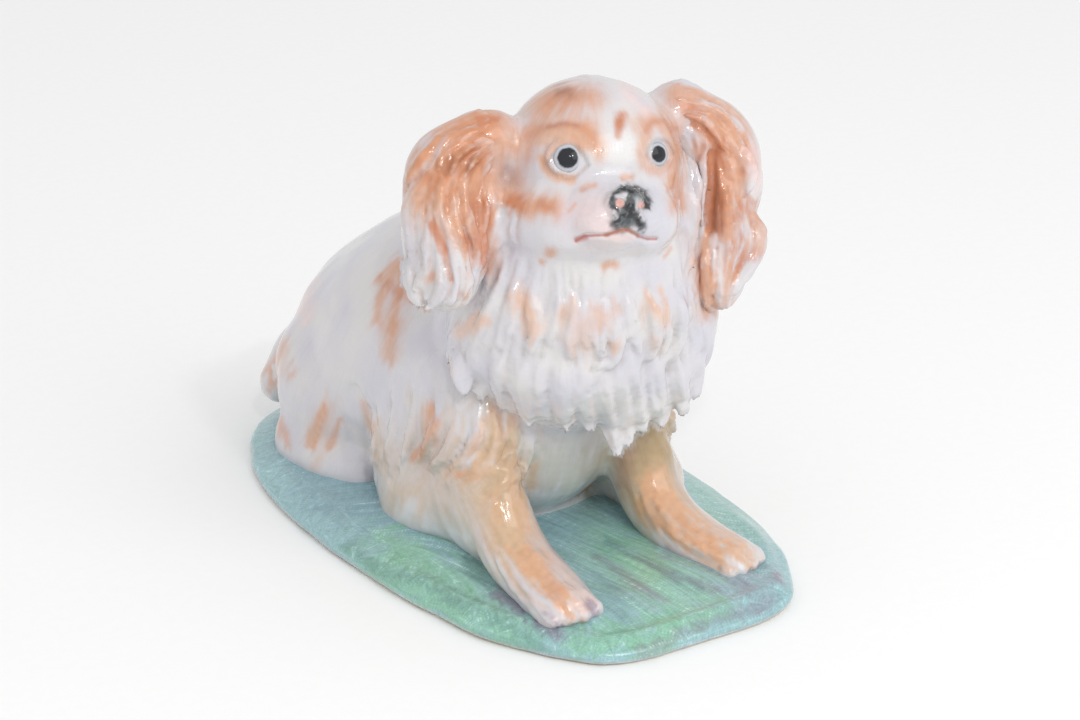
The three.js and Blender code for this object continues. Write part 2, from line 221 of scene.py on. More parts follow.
RIGHT_EAR_LOCKS = [
    Lock(8, 1.2, [(494, 128), (474, 131), (455, 138), (441, 151)]),
    Lock(8, 1.1, [(438, 140), (424, 156), (413, 169), (406, 186)]),
    Lock(9, 1.4, [(437, 170), (424, 179), (412, 194), (407, 212), (409, 232), (413, 250)]),
    Lock(
        6.5,
        1.4,
        [(447, 145), (442, 160), (443, 182), (440, 206), (446, 228), (455, 251), (459, 281), (451, 305)],
    ),
    Lock(5, 1.3, [(456, 176), (452, 206), (456, 231), (465, 251), (469, 274)]),
    Lock(5, 1.2, [(467, 174), (462, 203), (469, 225), (474, 243), (478, 268)]),
    Lock(5.5, 1.2, [(487, 166), (481, 195), (485, 212), (480, 228), (483, 246), (481, 268)]),
    Lock(6.5, 1.3, [(428, 210), (427, 243), (426, 270), (414, 291)]),
    Lock(7, 1.3, [(438, 252), (443, 278), (439, 297), (427, 308)]),
    Lock(4, 0.9, [(486, 144), (466, 150), (456, 160), (451, 172)]),
    Lock(4, 0.9, [(488, 154), (473, 162), (465, 176)]),
    Lock(7, 1.2, [(413, 250), (405, 270), (409, 292), (420, 305)]),
    Lock(5, 1.1, [(463, 262), (468, 283), (461, 304)]),
]
LEFT_EAR_LOCKS = [
    Lock(5, 1.6, [(676, 119), (692, 115), (706, 120), (714, 131), (720, 143), (729, 152)]),
    Lock(6, 1.1, [(674, 101), (690, 99), (707, 104), (722, 113), (736, 127)]),
    Lock(6, 1.3, [(719, 158), (723, 184), (727, 208), (729, 231), (727, 255), (724, 278), (722, 307)]),
    Lock(5.5, 1.2, [(728, 175), (734, 200), (738, 223), (740, 242), (734, 265)]),
    Lock(9, 2.2, [(738, 138), (747, 158), (751, 175), (745, 192)]),
    Lock(10, 2.4, [(748, 198), (756, 214), (759, 232), (756, 252), (745, 272), (733, 290)]),
    Lock(6, 1.3, [(710, 236), (704, 262), (707, 286), (706, 307)]),
    Lock(3.5, 0.9, [(716, 234), (715, 262), (715, 290), (714, 309)]),
    Lock(5.5, 1.3, [(688, 122), (700, 136), (708, 150), (703, 164), (707, 178), (703, 196), (703, 224)]),
]
CHEEK_LOCKS = [
    Lock(6, 0.8, [(500, 210), (497, 238), (494, 262), (486, 290)]),
    Lock(5.5, 0.7, [(509, 215), (507, 250), (500, 280)]),
    Lock(5, 1.0, [(690, 160), (696, 190), (699, 215), (697, 240), (691, 268)]),
]
RUFF_LOCKS = [
    Lock(9, 1.5, [(486, 292), (472, 320), (456, 338), (447, 360)]),
    Lock(10, 1.7, [(505, 262), (495, 298), (482, 331), (465, 352)]),
    Lock(9, 1.4, [(514, 285), (509, 305), (501, 328), (489, 347)]),
    Lock(9, 1.6, [(524, 270), (513, 300), (512, 322), (503, 346)]),
    Lock(10, 1.8, [(540, 276), (531, 304), (537, 326), (529, 349)]),
    Lock(8, 1.4, [(553, 280), (559, 304), (551, 327), (549, 345)]),
    Lock(10, 1.9, [(570, 280), (575, 310), (569, 334), (573, 357)]),
    Lock(8, 1.5, [(586, 284), (589, 308), (584, 330), (588, 346)]),
    Lock(9, 1.7, [(600, 280), (602, 314), (598, 340), (602, 358)]),
    Lock(9, 2.0, [(613, 290), (614, 325), (619, 345), (612, 362), (594, 368)]),
    Lock(9, 1.5, [(626, 280), (630, 312), (632, 335), (638, 349)]),
    Lock(10, 1.8, [(646, 278), (654, 310), (655, 335), (649, 357)]),
    Lock(9, 1.4, [(661, 282), (667, 312), (668, 335), (664, 348)]),
    Lock(10, 1.8, [(674, 276), (681, 306), (681, 335), (672, 364)]),
    Lock(9, 1.5, [(690, 310), (696, 345), (690, 370)]),
    Lock(10, 1.3, [(694, 294), (705, 326), (708, 352), (700, 374)]),
]
BIB_LOCKS = [
    Lock(11, 1.4, [(468, 336), (456, 362), (455, 380), (463, 394)]),
    Lock(13, 1.5, [(482, 340), (472, 372), (478, 400)]),
    Lock(11, 1.7, [(503, 342), (497, 378), (503, 408)]),
    Lock(12, 1.9, [(523, 344), (519, 386), (530, 424)]),
    Lock(10, 1.6, [(541, 346), (538, 386), (545, 420)]),
    Lock(12, 1.8, [(560, 346), (562, 390), (566, 429)]),
    Lock(11, 1.7, [(580, 348), (583, 396), (592, 430)]),
    Lock(13, 2.1, [(600, 348), (606, 404), (616, 452)]),
    Lock(12, 1.9, [(618, 350), (623, 404), (627, 440)]),
    Lock(11, 1.6, [(634, 348), (638, 396), (642, 430)]),
    Lock(12, 1.9, [(653, 348), (659, 394), (662, 426)]),
    Lock(11, 1.7, [(672, 346), (679, 388), (684, 413)]),
    Lock(11, 1.8, [(692, 340), (700, 370), (696, 395)]),
    Lock(9, 1.3, [(505, 352), (500, 374), (508, 392)]),
    Lock(9, 1.4, [(545, 356), (538, 380), (543, 402)]),
    Lock(9, 1.4, [(572, 358), (577, 384), (571, 406)]),
    Lock(9, 1.4, [(596, 360), (600, 386), (608, 410)]),
    Lock(9, 1.4, [(626, 358), (631, 382), (626, 402)]),
    Lock(9, 1.4, [(654, 360), (650, 382), (656, 402)]),
    Lock(9, 1.3, [(682, 358), (680, 378), (684, 394)]),
]
SLEEVE_LOCKS = [
    Lock(7, 1.0, [(371, 408), (376, 440), (374, 468)]),
    Lock(7, 1.0, [(392, 404), (394, 440), (388, 470)]),
    Lock(8, 1.2, [(412, 402), (413, 432), (406, 455), (396, 472)]),
    Lock(8, 1.3, [(436, 400), (436, 428), (429, 448), (412, 462)]),
    Lock(8, 1.3, [(457, 402), (457, 432), (449, 454), (430, 468)]),
    Lock(8, 1.4, [(478, 406), (479, 436), (469, 458), (446, 470)]),
    Lock(8, 1.4, [(496, 408), (498, 440), (488, 462), (462, 475)]),
    Lock(8, 1.4, [(512, 412), (516, 446), (506, 468), (482, 482)]),
    Lock(7, 1.3, [(526, 420), (529, 450), (518, 474), (496, 488)]),
]
PAW_LOCKS = [
    Lock(7, 0.9, [(492, 545), (504, 570), (522, 592)]),
    Lock(7, 0.9, [(512, 566), (528, 592), (548, 612)]),
    Lock(6, 0.8, [(532, 584), (548, 606), (566, 622)]),
    Lock(6, 0.7, [(552, 584), (568, 602), (584, 616)]),
    Lock(6, 0.7, [(534, 556), (556, 580), (578, 600)]),
    Lock(7, 0.9, [(648, 498), (664, 522), (686, 540)]),
    Lock(7, 0.9, [(670, 522), (692, 544), (716, 558)]),
    Lock(6, 0.8, [(700, 544), (722, 558), (744, 570)]),
    Lock(6, 0.7, [(690, 526), (716, 542), (742, 556)]),
]

# Ears: their forms and locks, and the locks behind, which are so many, so thick, and strewn by a seed

Ear = namedtuple("Ear", "name sections locks back_locks thickness seed")
EARS = [
    Ear("right_ear_locks", RIGHT_EAR, RIGHT_EAR_LOCKS, 15, 2.6, 3),
    Ear("left_ear_locks", LEFT_EAR, LEFT_EAR_LOCKS, 14, 2.8, 8),
]

# Locks that the picture doesn't show, in rows hung round the neck: reach across and ahead, and height

HairRow = namedtuple("HairRow", "locks spread thickness root belly tip turn", defaults=[0])
RUFF_ROWS = [
    HairRow(17, 230, 2.6, (24, 21, 96), (30, 28, 86), (33, 30, 76)),
    HairRow(17, 224, 2.8, (30, 27, 84), (33, 29, 74), (33.5, 29, 64)),
]
BIB_ROWS = [HairRow(16, 200, 2.8, (32, 28, 70), (33, 28.5, 59), (31, 27, 47))]
NAPE_ROWS = [
    HairRow(11, 150, 2.6, (22, 17, 113), (23, 25, 100), (25, 31, 88.5), 180),
    HairRow(11, 130, 2.8, (25, 26, 98), (26, 36, 87), (27, 44, 81), 180),
]
HAIR_MIDDLE = Vector((3, -30, 0))

# Carvings in the picture: half width in pixels, depth in millimetres, points, and how sharp the edge is

SOFT, FIRM, CRISP, SHARP = 2.4, 3, 4, 6
Carving = namedtuple("Carving", "width depth points edge", defaults=[SOFT])
MOUTH = [(576, 241), (584, 236), (607, 235), (619, 230), (627, 230), (638, 236), (647, 239), (656, 239)]
CARVINGS = [
    Carving(2.2, 0.55, MOUTH),
    Carving(3.6, 0.7, [(619, 204)]),
    Carving(3.2, 0.7, [(642, 206)]),
    Carving(2.0, 0.35, [(630, 211), (627, 220), (624, 228)]),
    Carving(2.2, 0.3, [(545, 147), (553, 139), (567, 135), (581, 138), (590, 147)]),
    Carving(2.0, 0.3, [(645, 147), (650, 139), (660, 136), (669, 140), (673, 148)]),
    Carving(4, 1.6, [(713, 154), (713, 180), (711, 205), (710, 230)]),
    Carving(4, 0.9, [(353, 388), (361, 400), (366, 412), (366, 457)]),
]

# Blocking out

BALL_SEGMENTS, BALL_RINGS = 48, 24
ROPE_ROUNDNESS, ROPE_STEPS, ROPE_ORDER = 2, 5, 4
SOFTENING, FINER_CUTS, FINER_ROUNDS = 0.5, 2, 4


def deselect():
    bpy.ops.object.select_all(action="DESELECT")


def pick(piece):
    """Selects one piece alone and makes it the active one."""
    deselect()
    piece.select_set(True)
    bpy.context.view_layer.objects.active = piece


def put(block, matrix):
    """Stands a new block where the matrix says, in millimetres, and fixes its place in its mesh."""
    block.matrix_world = Matrix.Scale(MM, 4) @ matrix
    bpy.ops.object.transform_apply()
    return block


def to_mesh(curve):
    """A mesh made from a curve."""
    shape = bpy.data.objects.new(curve.name, curve)
    bpy.context.collection.objects.link(shape)
    pick(shape)
    bpy.ops.object.convert(target="MESH")
    return bpy.context.object


def ball(form, axes=Matrix.Identity(4)):
    deselect()
    bpy.ops.mesh.primitive_uv_sphere_add(segments=BALL_SEGMENTS, ring_count=BALL_RINGS, radius=1)
    size = Matrix.Diagonal((form.half_width, form.half_depth, form.half_height, 1))
    return put(bpy.context.object, axes @ Matrix.Translation(form[:3]) @ size)


def square_to(section, way, axes):
    """A place for a section's oval, stood square to the way its limb runs."""
    depth_way = way.cross(ACROSS).normalized()
    width_way = depth_way.cross(way)
    turn = Matrix((width_way, depth_way, way)).transposed().to_4x4()
    return axes @ Matrix.Translation(section[:3]) @ turn


def ring(section, way, axes):
    deselect()
    bpy.ops.mesh.primitive_circle_add(vertices=RING_SIDES, radius=1)
    size = Matrix.Diagonal((section.half_width, section.half_depth, 1, 1))
    return put(bpy.context.object, square_to(section, way, axes) @ size)


def join(blocks, name):
    deselect()
    for block in blocks:
        block.select_set(True)
    bpy.context.view_layer.objects.active = blocks[0]
    if len(blocks) > 1:
        bpy.ops.object.join()
    joined = bpy.context.object
    joined.name = joined.data.name = name
    return joined


def limb(sections, axes=Matrix.Identity(4)):
    """Ovals stood square to their path, bridged, closed, and rounded off by a ball at either end."""
    middles = [Vector(section[:3]) for section in sections]
    ways = []
    for index in range(len(sections)):
        before, after = middles[max(index - 1, 0)], middles[min(index + 1, len(sections) - 1)]
        ways.append((after - before).normalized())
    limb_mesh = join([ring(section, way, axes) for section, way in zip(sections, ways)], "limb")
    bpy.ops.object.mode_set(mode="EDIT")
    bpy.ops.mesh.select_all(action="SELECT")
    bpy.ops.mesh.bridge_edge_loops(type="SINGLE", number_cuts=RING_CUTS, interpolation="SURFACE")
    bpy.ops.mesh.select_all(action="SELECT")
    bpy.ops.mesh.fill_holes(sides=0)
    bpy.ops.object.mode_set(mode="OBJECT")
    ends = []
    for section, way in ((sections[0], ways[0]), (sections[-1], ways[-1])):
        half_length = min(section.half_width, section.half_depth)
        size = Ball(0, 0, 0, section.half_width, section.half_depth, half_length)
        ends.append(ball(size, square_to(section, way, axes)))
    return [limb_mesh, *ends]


def mirrored(sections):
    return [section._replace(x=-section.x) for section in sections]


def ropes(paths):
    """Locks of hair: each path is a list of points and half thicknesses."""
    curve = bpy.data.curves.new("locks", "CURVE")
    curve.dimensions = "3D"
    curve.bevel_depth = 1
    curve.bevel_resolution = ROPE_ROUNDNESS
    curve.resolution_u = ROPE_STEPS
    curve.use_fill_caps = True
    for path in paths:
        spline = curve.splines.new("NURBS")
        spline.points.add(len(path) - 1)
        spline.order_u = ROPE_ORDER
        spline.use_endpoint_u = True
        for point, (place, thickness) in zip(spline.points, path):
            point.co = (*place, 1)
            point.radius = thickness
    return put(to_mesh(curve), Matrix.Identity(4))


def modifier(piece, kind, **settings):
    bpy.ops.object.modifier_add(type=kind)
    added = piece.modifiers[-1]
    for name, value in settings.items():
        setattr(added, name, value)
    bpy.ops.object.modifier_apply(modifier=added.name)


def fuse(blocks, name, grain, rounds):
    """Joins blocks into one skin of even grain and softens where they meet."""
    piece = join(blocks, name)
    modifier(piece, "REMESH", mode="VOXEL", voxel_size=grain * MM, use_smooth_shade=True)
    modifier(piece, "SMOOTH", factor=SOFTENING, iterations=rounds)
    return piece


def refine(piece, chosen):
    """Makes the grain a third as coarse among the chosen vertices, and softens it."""
    pick(piece)
    bpy.ops.object.mode_set(mode="EDIT")
    bpy.ops.mesh.select_mode(type="VERT")
    bpy.ops.mesh.select_all(action="DESELECT")
    bpy.ops.object.mode_set(mode="OBJECT")
    piece.data.vertices.foreach_set("select", chosen)
    bpy.ops.object.mode_set(mode="EDIT")
    bpy.ops.mesh.subdivide(number_cuts=FINER_CUTS)
    bpy.ops.mesh.vertices_smooth(factor=SOFTENING, repeat=FINER_ROUNDS)
    bpy.ops.object.mode_set(mode="OBJECT")


# Laying hair on a skin

# A lock's points are a step of pixels apart. It has left the skin where its depth leaps by millimetres.
LOCK_STEP, FEWEST_STOPS, SKIN_LEAP = 6, 5, 8
LOCK_TAPER = (0, 0.3, 0.65, 0.85, 1), (0.35, 1, 1, 0.8, 0.45)
LOCK_STOPS, ROOT_RISE = (0, 0.4, 0.75, 1), -0.4
TIP_LENGTH, TIP_THICKNESS = 0.7, 0.45
EDGE_ON = 0.05


def skin_of(*pieces):
    """One skin over several pieces, for laying hair on."""
    places, faces = [], []
    for piece in pieces:
        first = len(places)
        places += [vertex.co for vertex in piece.data.vertices]
        faces += [[first + corner for corner in face.vertices] for face in piece.data.polygons]
    return BVHTree.FromPolygons(places, faces)


def aim_of(pixel):
    """The way from the lens through a pixel of the picture."""
    across = (pixel[0] - PICTURE_WIDTH / 2) / PICTURE_WIDTH * SENSOR / LENS
    upward = (PICTURE_HEIGHT / 2 - pixel[1]) / PICTURE_WIDTH * SENSOR / LENS
    return (camera.matrix_world.to_3x3() @ Vector((across, upward, -1))).normalized()


def cast(skin, pixel):
    """Where a pixel falls on a skin, in millimetres, and the way the skin faces there."""
    place, facing, _, _ = skin.ray_cast(LENS_PLACE * MM, aim_of(pixel))
    return (place / MM, facing) if place else (None, None)


def drawn(points):
    """A line of pixels a step apart along a list of points."""
    points = np.array(points, float)
    lengths = np.r_[0, np.cumsum(np.linalg.norm(np.diff(points, axis=0), axis=1))]
    stops = np.linspace(0, lengths[-1], max(FEWEST_STOPS, int(lengths[-1] / LOCK_STEP)))
    return np.stack([np.interp(stops, lengths, points[:, axis]) for axis in (0, 1)], axis=1)


def laid(skin, locks, tip):
    """Ropes for the picture's locks, sunk in a skin until each stands as high and as wide as is written.

    The tip is the share of its height at which a lock ends.
    """
    paths = []
    for lock in locks:
        half_width = lock.width * PIXEL
        radius = (half_width**2 + lock.height**2) / (2 * lock.height)
        pixels = drawn(lock.points)
        path = []
        reach = facing = None
        for share, pixel in zip(np.linspace(0, 1, len(pixels)), pixels):
            place, found = cast(skin, pixel)
            if place is not None and (reach is None or abs((place - LENS_PLACE).length - reach) < SKIN_LEAP):
                reach, facing = (place - LENS_PLACE).length, found
            elif reach is None:
                continue
            else:
                place = LENS_PLACE + reach * aim_of(pixel)
            taper = np.interp(share, *LOCK_TAPER)
            rise = lock.height * np.interp(share, LOCK_STOPS, (ROOT_RISE, 1, 1, tip))
            path.append((place + facing * (rise - radius * taper), radius * taper))
        if len(path) >= ROPE_ORDER:
            (end, thick), before = path[-1], path[-2][0]
            path.append((end + (end - before).normalized() * TIP_LENGTH * thick, TIP_THICKNESS * thick))
            paths.append(path)
    return paths


def along(sections, share):
    """A section at a share of the way down a list of sections."""
    stops = np.linspace(0, 1, len(sections))
    return Section(*(np.interp(share, stops, values) for values in zip(*sections)))


def out_of_sight(way):
    return way.normalized().dot(TO_CAMERA) < EDGE_ON


# Locks that the picture doesn't show vary by chance: where they start, as a share of the space between two,
# how far they wave, in radians, how long they are, as a share, and how thick.

EAR_START, EAR_WAVE, EAR_LENGTH, EAR_THICKNESS = (-0.2, 0.2), (0.12, 0.3), (0.84, 0.98), (0.85, 1.2)
EAR_POINTS, EAR_TOP, EAR_WAVES, EAR_SUNK = 12, 0.05, 3.2, 0.8
EAR_TAPER = (0, 0.3, 0.8, 1), (0.6, 1, 1, 0.4)
ROW_START, ROW_WAVE, ROW_LENGTH, ROW_THICKNESS = (-0.25, 0.25), (0.02, 0.07), (0.85, 1.12), (0.9, 1.2)
ROW_POINTS, ROW_WAVES, ROW_UPWARD = 8, 2.6, 0.2
ROW_TAPER = (0, 0.25, 0.7, 1), (0.5, 1, 1, 0.45)


def ear_back_locks(ear):
    """Wavy locks down the side of an ear that the picture doesn't show."""
    chance = np.random.default_rng(ear.seed)
    paths = []
    for lock in range(ear.back_locks):
        start = 2 * pi * (lock + chance.uniform(*EAR_START)) / ear.back_locks
        phase, wave = chance.uniform(0, 2 * pi), chance.uniform(*EAR_WAVE)
        length, thick = chance.uniform(*EAR_LENGTH), ear.thickness * chance.uniform(*EAR_THICKNESS)
        if not out_of_sight(HEAD.to_3x3() @ Vector((cos(start), sin(start), 0))):
            continue
        path = []
        for share in np.linspace(EAR_TOP, 1, EAR_POINTS):
            section = along(ear.sections, share * length)
            angle = start + wave * sin(phase + EAR_WAVES * pi * share) * min(1, 2 * share)
            across, deep = section.half_width * cos(angle), section.half_depth * sin(angle)
            place = HEAD @ Vector((section.x + EAR_SUNK * across, section.y + EAR_SUNK * deep, section.z))
            path.append((place, thick * np.interp(share, *EAR_TAPER)))
        paths.append(path)
    return paths


def hair_row(row, seed):
    """Locks hung round the neck where the picture doesn't show it, each from root over belly to tip."""
    chance = np.random.default_rng(seed)
    stops = (0, 0.5, 1)
    paths = []
    for lock in range(row.locks):
        aside = (lock + chance.uniform(*ROW_START)) / (row.locks - 1) - 0.5
        angle = radians(row.turn + row.spread * aside)
        phase, wave = chance.uniform(0, 2 * pi), chance.uniform(*ROW_WAVE)
        length, thick = chance.uniform(*ROW_LENGTH), row.thickness * chance.uniform(*ROW_THICKNESS)
        if not out_of_sight(Vector((sin(angle), -cos(angle), ROW_UPWARD))):
            continue
        path = []
        for share in np.linspace(0, 1, ROW_POINTS):
            across, ahead, height = (
                np.interp(share * length, stops, values) for values in zip(row.root, row.belly, row.tip)
            )
            turned = angle + wave * sin(phase + ROW_WAVES * pi * share)
            place = Vector((across * sin(turned), -ahead * cos(turned), height)) + HAIR_MIDDLE
            path.append((place, thick * np.interp(share, *ROW_TAPER)))
        paths.append(path)
    return paths


# Clay: a piece's vertices as arrays, in millimetres

CELL_KEYS, SEED_KEY, STIR_KEYS = (73856093, 19349663, 83492791), 2654435761, (1274126177, 2246822519)
WORD = 0xFFFFFFFF
COMB_TAPS = 9
LIMB_REACH, PLAIN_PULL = 14.0, 0.3
STROKE_FALL = 0.7
# A vertex is in sight where it faces the camera, within these limits, and lies no deeper in its cell of the
# picture than the slack, in millimetres, which then fades.
SIGHT_CELL, SIGHT_SLACK, SIGHT_FADE, SIGHT_FACING = 4, 6.0, 4, (-0.45, -0.1)


def lattice_noise(points, seed):
    """Smooth noise from 0 to 1 on a lattice of unit cells."""
    cell = np.floor(points).astype(np.int64)
    part = points - cell
    part = part * part * (3 - 2 * part)
    total = np.zeros(len(points))
    for corner in np.ndindex(2, 2, 2):
        across, along_body, upward = ((cell + corner) * CELL_KEYS).T
        mixed = across ^ along_body ^ upward ^ (seed * SEED_KEY)
        mixed = (mixed ^ (mixed >> 13)) * STIR_KEYS[0] & WORD
        mixed = (mixed ^ (mixed >> 16)) * STIR_KEYS[1] & WORD
        weight = np.prod(np.where(corner, part, 1 - part), axis=1)
        total += weight * (mixed ^ (mixed >> 15)) / WORD
    return total


def combed(places, flow, width, length, seed):
    """Noise drawn out along the flow, with a mean of 0 and a spread of 1."""
    taps = np.linspace(-0.5, 0.5, COMB_TAPS) * length
    drawn_out = sum(lattice_noise((places + tap * flow) / width, seed) for tap in taps)
    return (drawn_out - drawn_out.mean()) / drawn_out.std()


def smoothstep(low, high, value):
    share = np.clip((value - low) / (high - low), 0, 1)
    return share * share * (3 - 2 * share)


def distance_to_segment(points, start, end):
    way = end - start
    share = np.clip((points - start) @ way / max(way @ way, TINY), 0, 1)
    return np.linalg.norm(points - start - share[:, None] * way, axis=1)


def project(places):
    """Where points in millimetres fall in the picture, in pixels, and how far they are from the camera."""
    to_view = np.array(camera.matrix_world.inverted())
    seen = places * MM @ to_view[:3, :3].T + to_view[:3, 3]
    scale = LENS / SENSOR * PICTURE_WIDTH / -seen[:, 2]
    column = PICTURE_WIDTH / 2 + seen[:, 0] * scale
    row = PICTURE_HEIGHT / 2 - seen[:, 1] * scale
    return np.stack([column, row], axis=1), -seen[:, 2] / MM


class Clay:
    def __init__(self, piece):
        self.piece = piece
        self.places = self.read(piece.data.vertices, "co") / MM
        self.refresh()

    def read(self, items, field):
        values = np.empty(len(items) * 3, np.float32)
        items.foreach_get(field, values)
        return values.reshape(-1, 3).astype(float)

    def refresh(self):
        mesh = self.piece.data
        mesh.vertices.foreach_set("co", (self.places * MM).astype(np.float32).ravel())
        mesh.update()
        self.normals = self.read(mesh.vertex_normals, "vector")
        self.pixels, self.depth = project(self.places)
        to_camera = np.array(LENS_PLACE) - self.places
        to_camera /= np.linalg.norm(to_camera, axis=1, keepdims=True)
        self.facing = np.sum(self.normals * to_camera, axis=1)

    def push(self, amount):
        """Moves every vertex along its normal by its amount."""
        self.places += self.normals * amount[:, None]
        self.refresh()

    def comb(self, paths, reach, plain=(0, 0, -1), limbs=()):
        """The way the hair lies: along the nearest locks, else along a close limb, else the plain way."""
        flow = np.tile(np.array(plain, float) * PLAIN_PULL, (len(self.places), 1))
        for sections in limbs:
            middles = np.array([section[:3] for section in sections], float)
            for start, end in zip(middles[:-1], middles[1:]):
                weight = np.exp(-((distance_to_segment(self.places, start, end) / LIMB_REACH) ** 4))
                flow += weight[:, None] * (end - start) / np.linalg.norm(end - start)
        self.hair = np.zeros(len(self.places))
        for path in paths:
            line = np.array([place for place, _ in path], float)
            for start, end in zip(line[:-1], line[1:]):
                low, high = np.minimum(start, end) - 2 * reach, np.maximum(start, end) + 2 * reach
                close = np.flatnonzero(np.all((self.places > low) & (self.places < high), axis=1))
                apart = distance_to_segment(self.places[close], start, end)
                weight = np.exp(-((apart / reach) ** 2))
                flow[close] += weight[:, None] * (end - start) / max(np.linalg.norm(end - start), TINY)
                self.hair[close] = np.maximum(self.hair[close], weight)
        self.lay_flow(flow)

    def lay_flow(self, flow):
        """Keeps a flow along the surface, of the same length all over."""
        flow -= self.normals * np.sum(flow * self.normals, axis=1, keepdims=True)
        self.flow = flow / np.maximum(np.linalg.norm(flow, axis=1, keepdims=True), TINY)

    def hollowness(self, rounds):
        """How far each vertex lies below the surface as it would be if it were smoothed."""
        edges = np.empty(len(self.piece.data.edges) * 2, np.int64)
        self.piece.data.edges.foreach_get("vertices", edges)
        one_end, other_end = edges.reshape(-1, 2).T
        count = np.bincount(np.r_[one_end, other_end], minlength=len(self.places))
        smooth = self.places
        for _ in range(rounds):
            total = np.zeros_like(smooth)
            for axis in range(3):
                total[:, axis] = np.bincount(one_end, smooth[other_end, axis], len(count))
                total[:, axis] += np.bincount(other_end, smooth[one_end, axis], len(count))
            smooth = total / count[:, None]
        return np.sum((smooth - self.places) * self.normals, axis=1)

    def inside(self, box):
        """Which vertices fall in a box of the picture's pixels."""
        left, top, right, bottom = box
        column, row = self.pixels.T
        return (column > left) & (row > top) & (column < right) & (row < bottom)

    def near(self, mark):
        """How much of a mark's stroke each vertex in sight takes, from 0 to 1."""
        points = np.array(mark.points, float)
        if len(points) == 1:
            points = np.repeat(points, 2, axis=0)
        apart = np.full(len(self.places), np.inf)
        for start, end in zip(points[:-1], points[1:]):
            apart = np.minimum(apart, distance_to_segment(self.pixels, start, end))
        return np.exp(-STROKE_FALL * (apart / mark.width) ** mark.edge) * self.sight

    def store(self, name, values):
        kind, field = ("FLOAT_COLOR", "color") if values.shape[1] == 4 else ("FLOAT_VECTOR", "vector")
        attribute = self.piece.data.attributes.new(name, kind, "POINT")
        attribute.data.foreach_set(field, values.astype(np.float32).ravel())


def find_sight(clays):
    """A vertex is in sight where it faces the camera and nothing in its cell of the picture stands nearer."""
    nearest = np.full((PICTURE_WIDTH // SIGHT_CELL + 1, PICTURE_HEIGHT // SIGHT_CELL + 1), np.inf)
    cells = [(clay.pixels // SIGHT_CELL).astype(int) for clay in clays]
    for clay, cell in zip(clays, cells):
        np.minimum.at(nearest, (cell[:, 0], cell[:, 1]), clay.depth)
    for clay, cell in zip(clays, cells):
        behind = clay.depth - nearest[cell[:, 0], cell[:, 1]]
        uncovered = smoothstep(SIGHT_SLACK + SIGHT_FADE, SIGHT_SLACK, behind)
        clay.sight = smoothstep(*SIGHT_FACING, clay.facing) * uncovered


# Pieces

# Rounds of softening, for the cores under the hair and for the pieces with their hair on
BODY_CORE_ROUNDS, HEAD_CORE_ROUNDS, EAR_CORE_ROUNDS = 12, 14, 6
HAIR_ROUNDS, HEAD_ROUNDS, BASE_ROUNDS = 3, 4, 4
# Where locks end, as a share of their height, and how much higher the sleeve's stand than they are written
EAR_TIP, CHEEK_TIP, RUFF_TIP, BIB_TIP, SLEEVE_TIP, PAW_TIP = 0.5, 1.2, 0.5, 0.7, 0.2, 0.4
SLEEVE_RISE = 1.5
FIRST_ROW_SEED = 11
# How far round from the camera the muzzle's finer grain reaches
MUZZLE_FACING = -0.4
LID_SEGMENTS, LID_SIDES, EYE_SEGMENTS, EYE_RINGS = 48, 12, 64, 32


def toes(leg):
    """Balls side by side at the end of a paw."""
    paw, end = Vector(leg[-2][:3]), Vector(leg[-1][:3])
    ahead = (end - paw).normalized()
    aside = ahead.cross(Vector((0, 0, 1))).normalized()
    blocks = []
    for toe in range(TOES):
        offset = toe - (TOES - 1) / 2
        place = end + aside * offset * TOE_SPREAD + ahead * (TOE_AHEAD - TOE_FALL * abs(offset))
        blocks.append(ball(Ball(*place, TOE_RADIUS, TOE_HALF_LENGTH, TOE_RADIUS)))
    return blocks


def make_body():
    blocks = []
    for sections in (TRUNK, NECK, RIGHT_FORELEG, LEFT_FORELEG, TAIL, CHEST_FALL):
        blocks += limb(sections)
    for form in (HAUNCH, SLEEVE):
        for side in (RIGHT, LEFT):
            blocks.append(ball(form._replace(x=side * form.x)))
    for sections in (ELBOW, FOREARM, HIND_FOOT):
        blocks += limb(sections) + limb(mirrored(sections))
    core = fuse(blocks, "body_core", CORE_GRAIN, BODY_CORE_ROUNDS)
    skin = skin_of(core)
    sleeve = [lock._replace(height=SLEEVE_RISE * lock.height) for lock in SLEEVE_LOCKS]
    paths = laid(skin, sleeve, SLEEVE_TIP)
    paths += [[(Vector((-place.x, place.y, place.z)), thick) for place, thick in path] for path in paths]
    paths += laid(skin, PAW_LOCKS, PAW_TIP)
    blocks = [core, ropes(paths), *toes(RIGHT_FORELEG), *toes(LEFT_FORELEG)]
    return fuse(blocks, "body", BODY_GRAIN, HAIR_ROUNDS), paths


def looking(place, look):
    """Axes at a place, with z along a look."""
    return Matrix.Translation(place) @ look.to_track_quat("Z", "Y").to_matrix().to_4x4()


def make_lid(eye, look):
    deselect()
    bpy.ops.mesh.primitive_torus_add(
        major_segments=LID_SEGMENTS,
        minor_segments=LID_SIDES,
        major_radius=LID_RADIUS,
        minor_radius=LID_THICKNESS,
    )
    oval = Matrix.Diagonal((1, LID_HEIGHT, 1, 1))
    return put(bpy.context.object, looking(eye - LID_SUNK * look, look) @ oval)


def make_socket(eye, look):
    """A mound of clay that the eyeball is pressed into."""
    return ball(Ball(0, 0, 0, *SOCKET), looking(eye - SOCKET_SUNK * look, look))


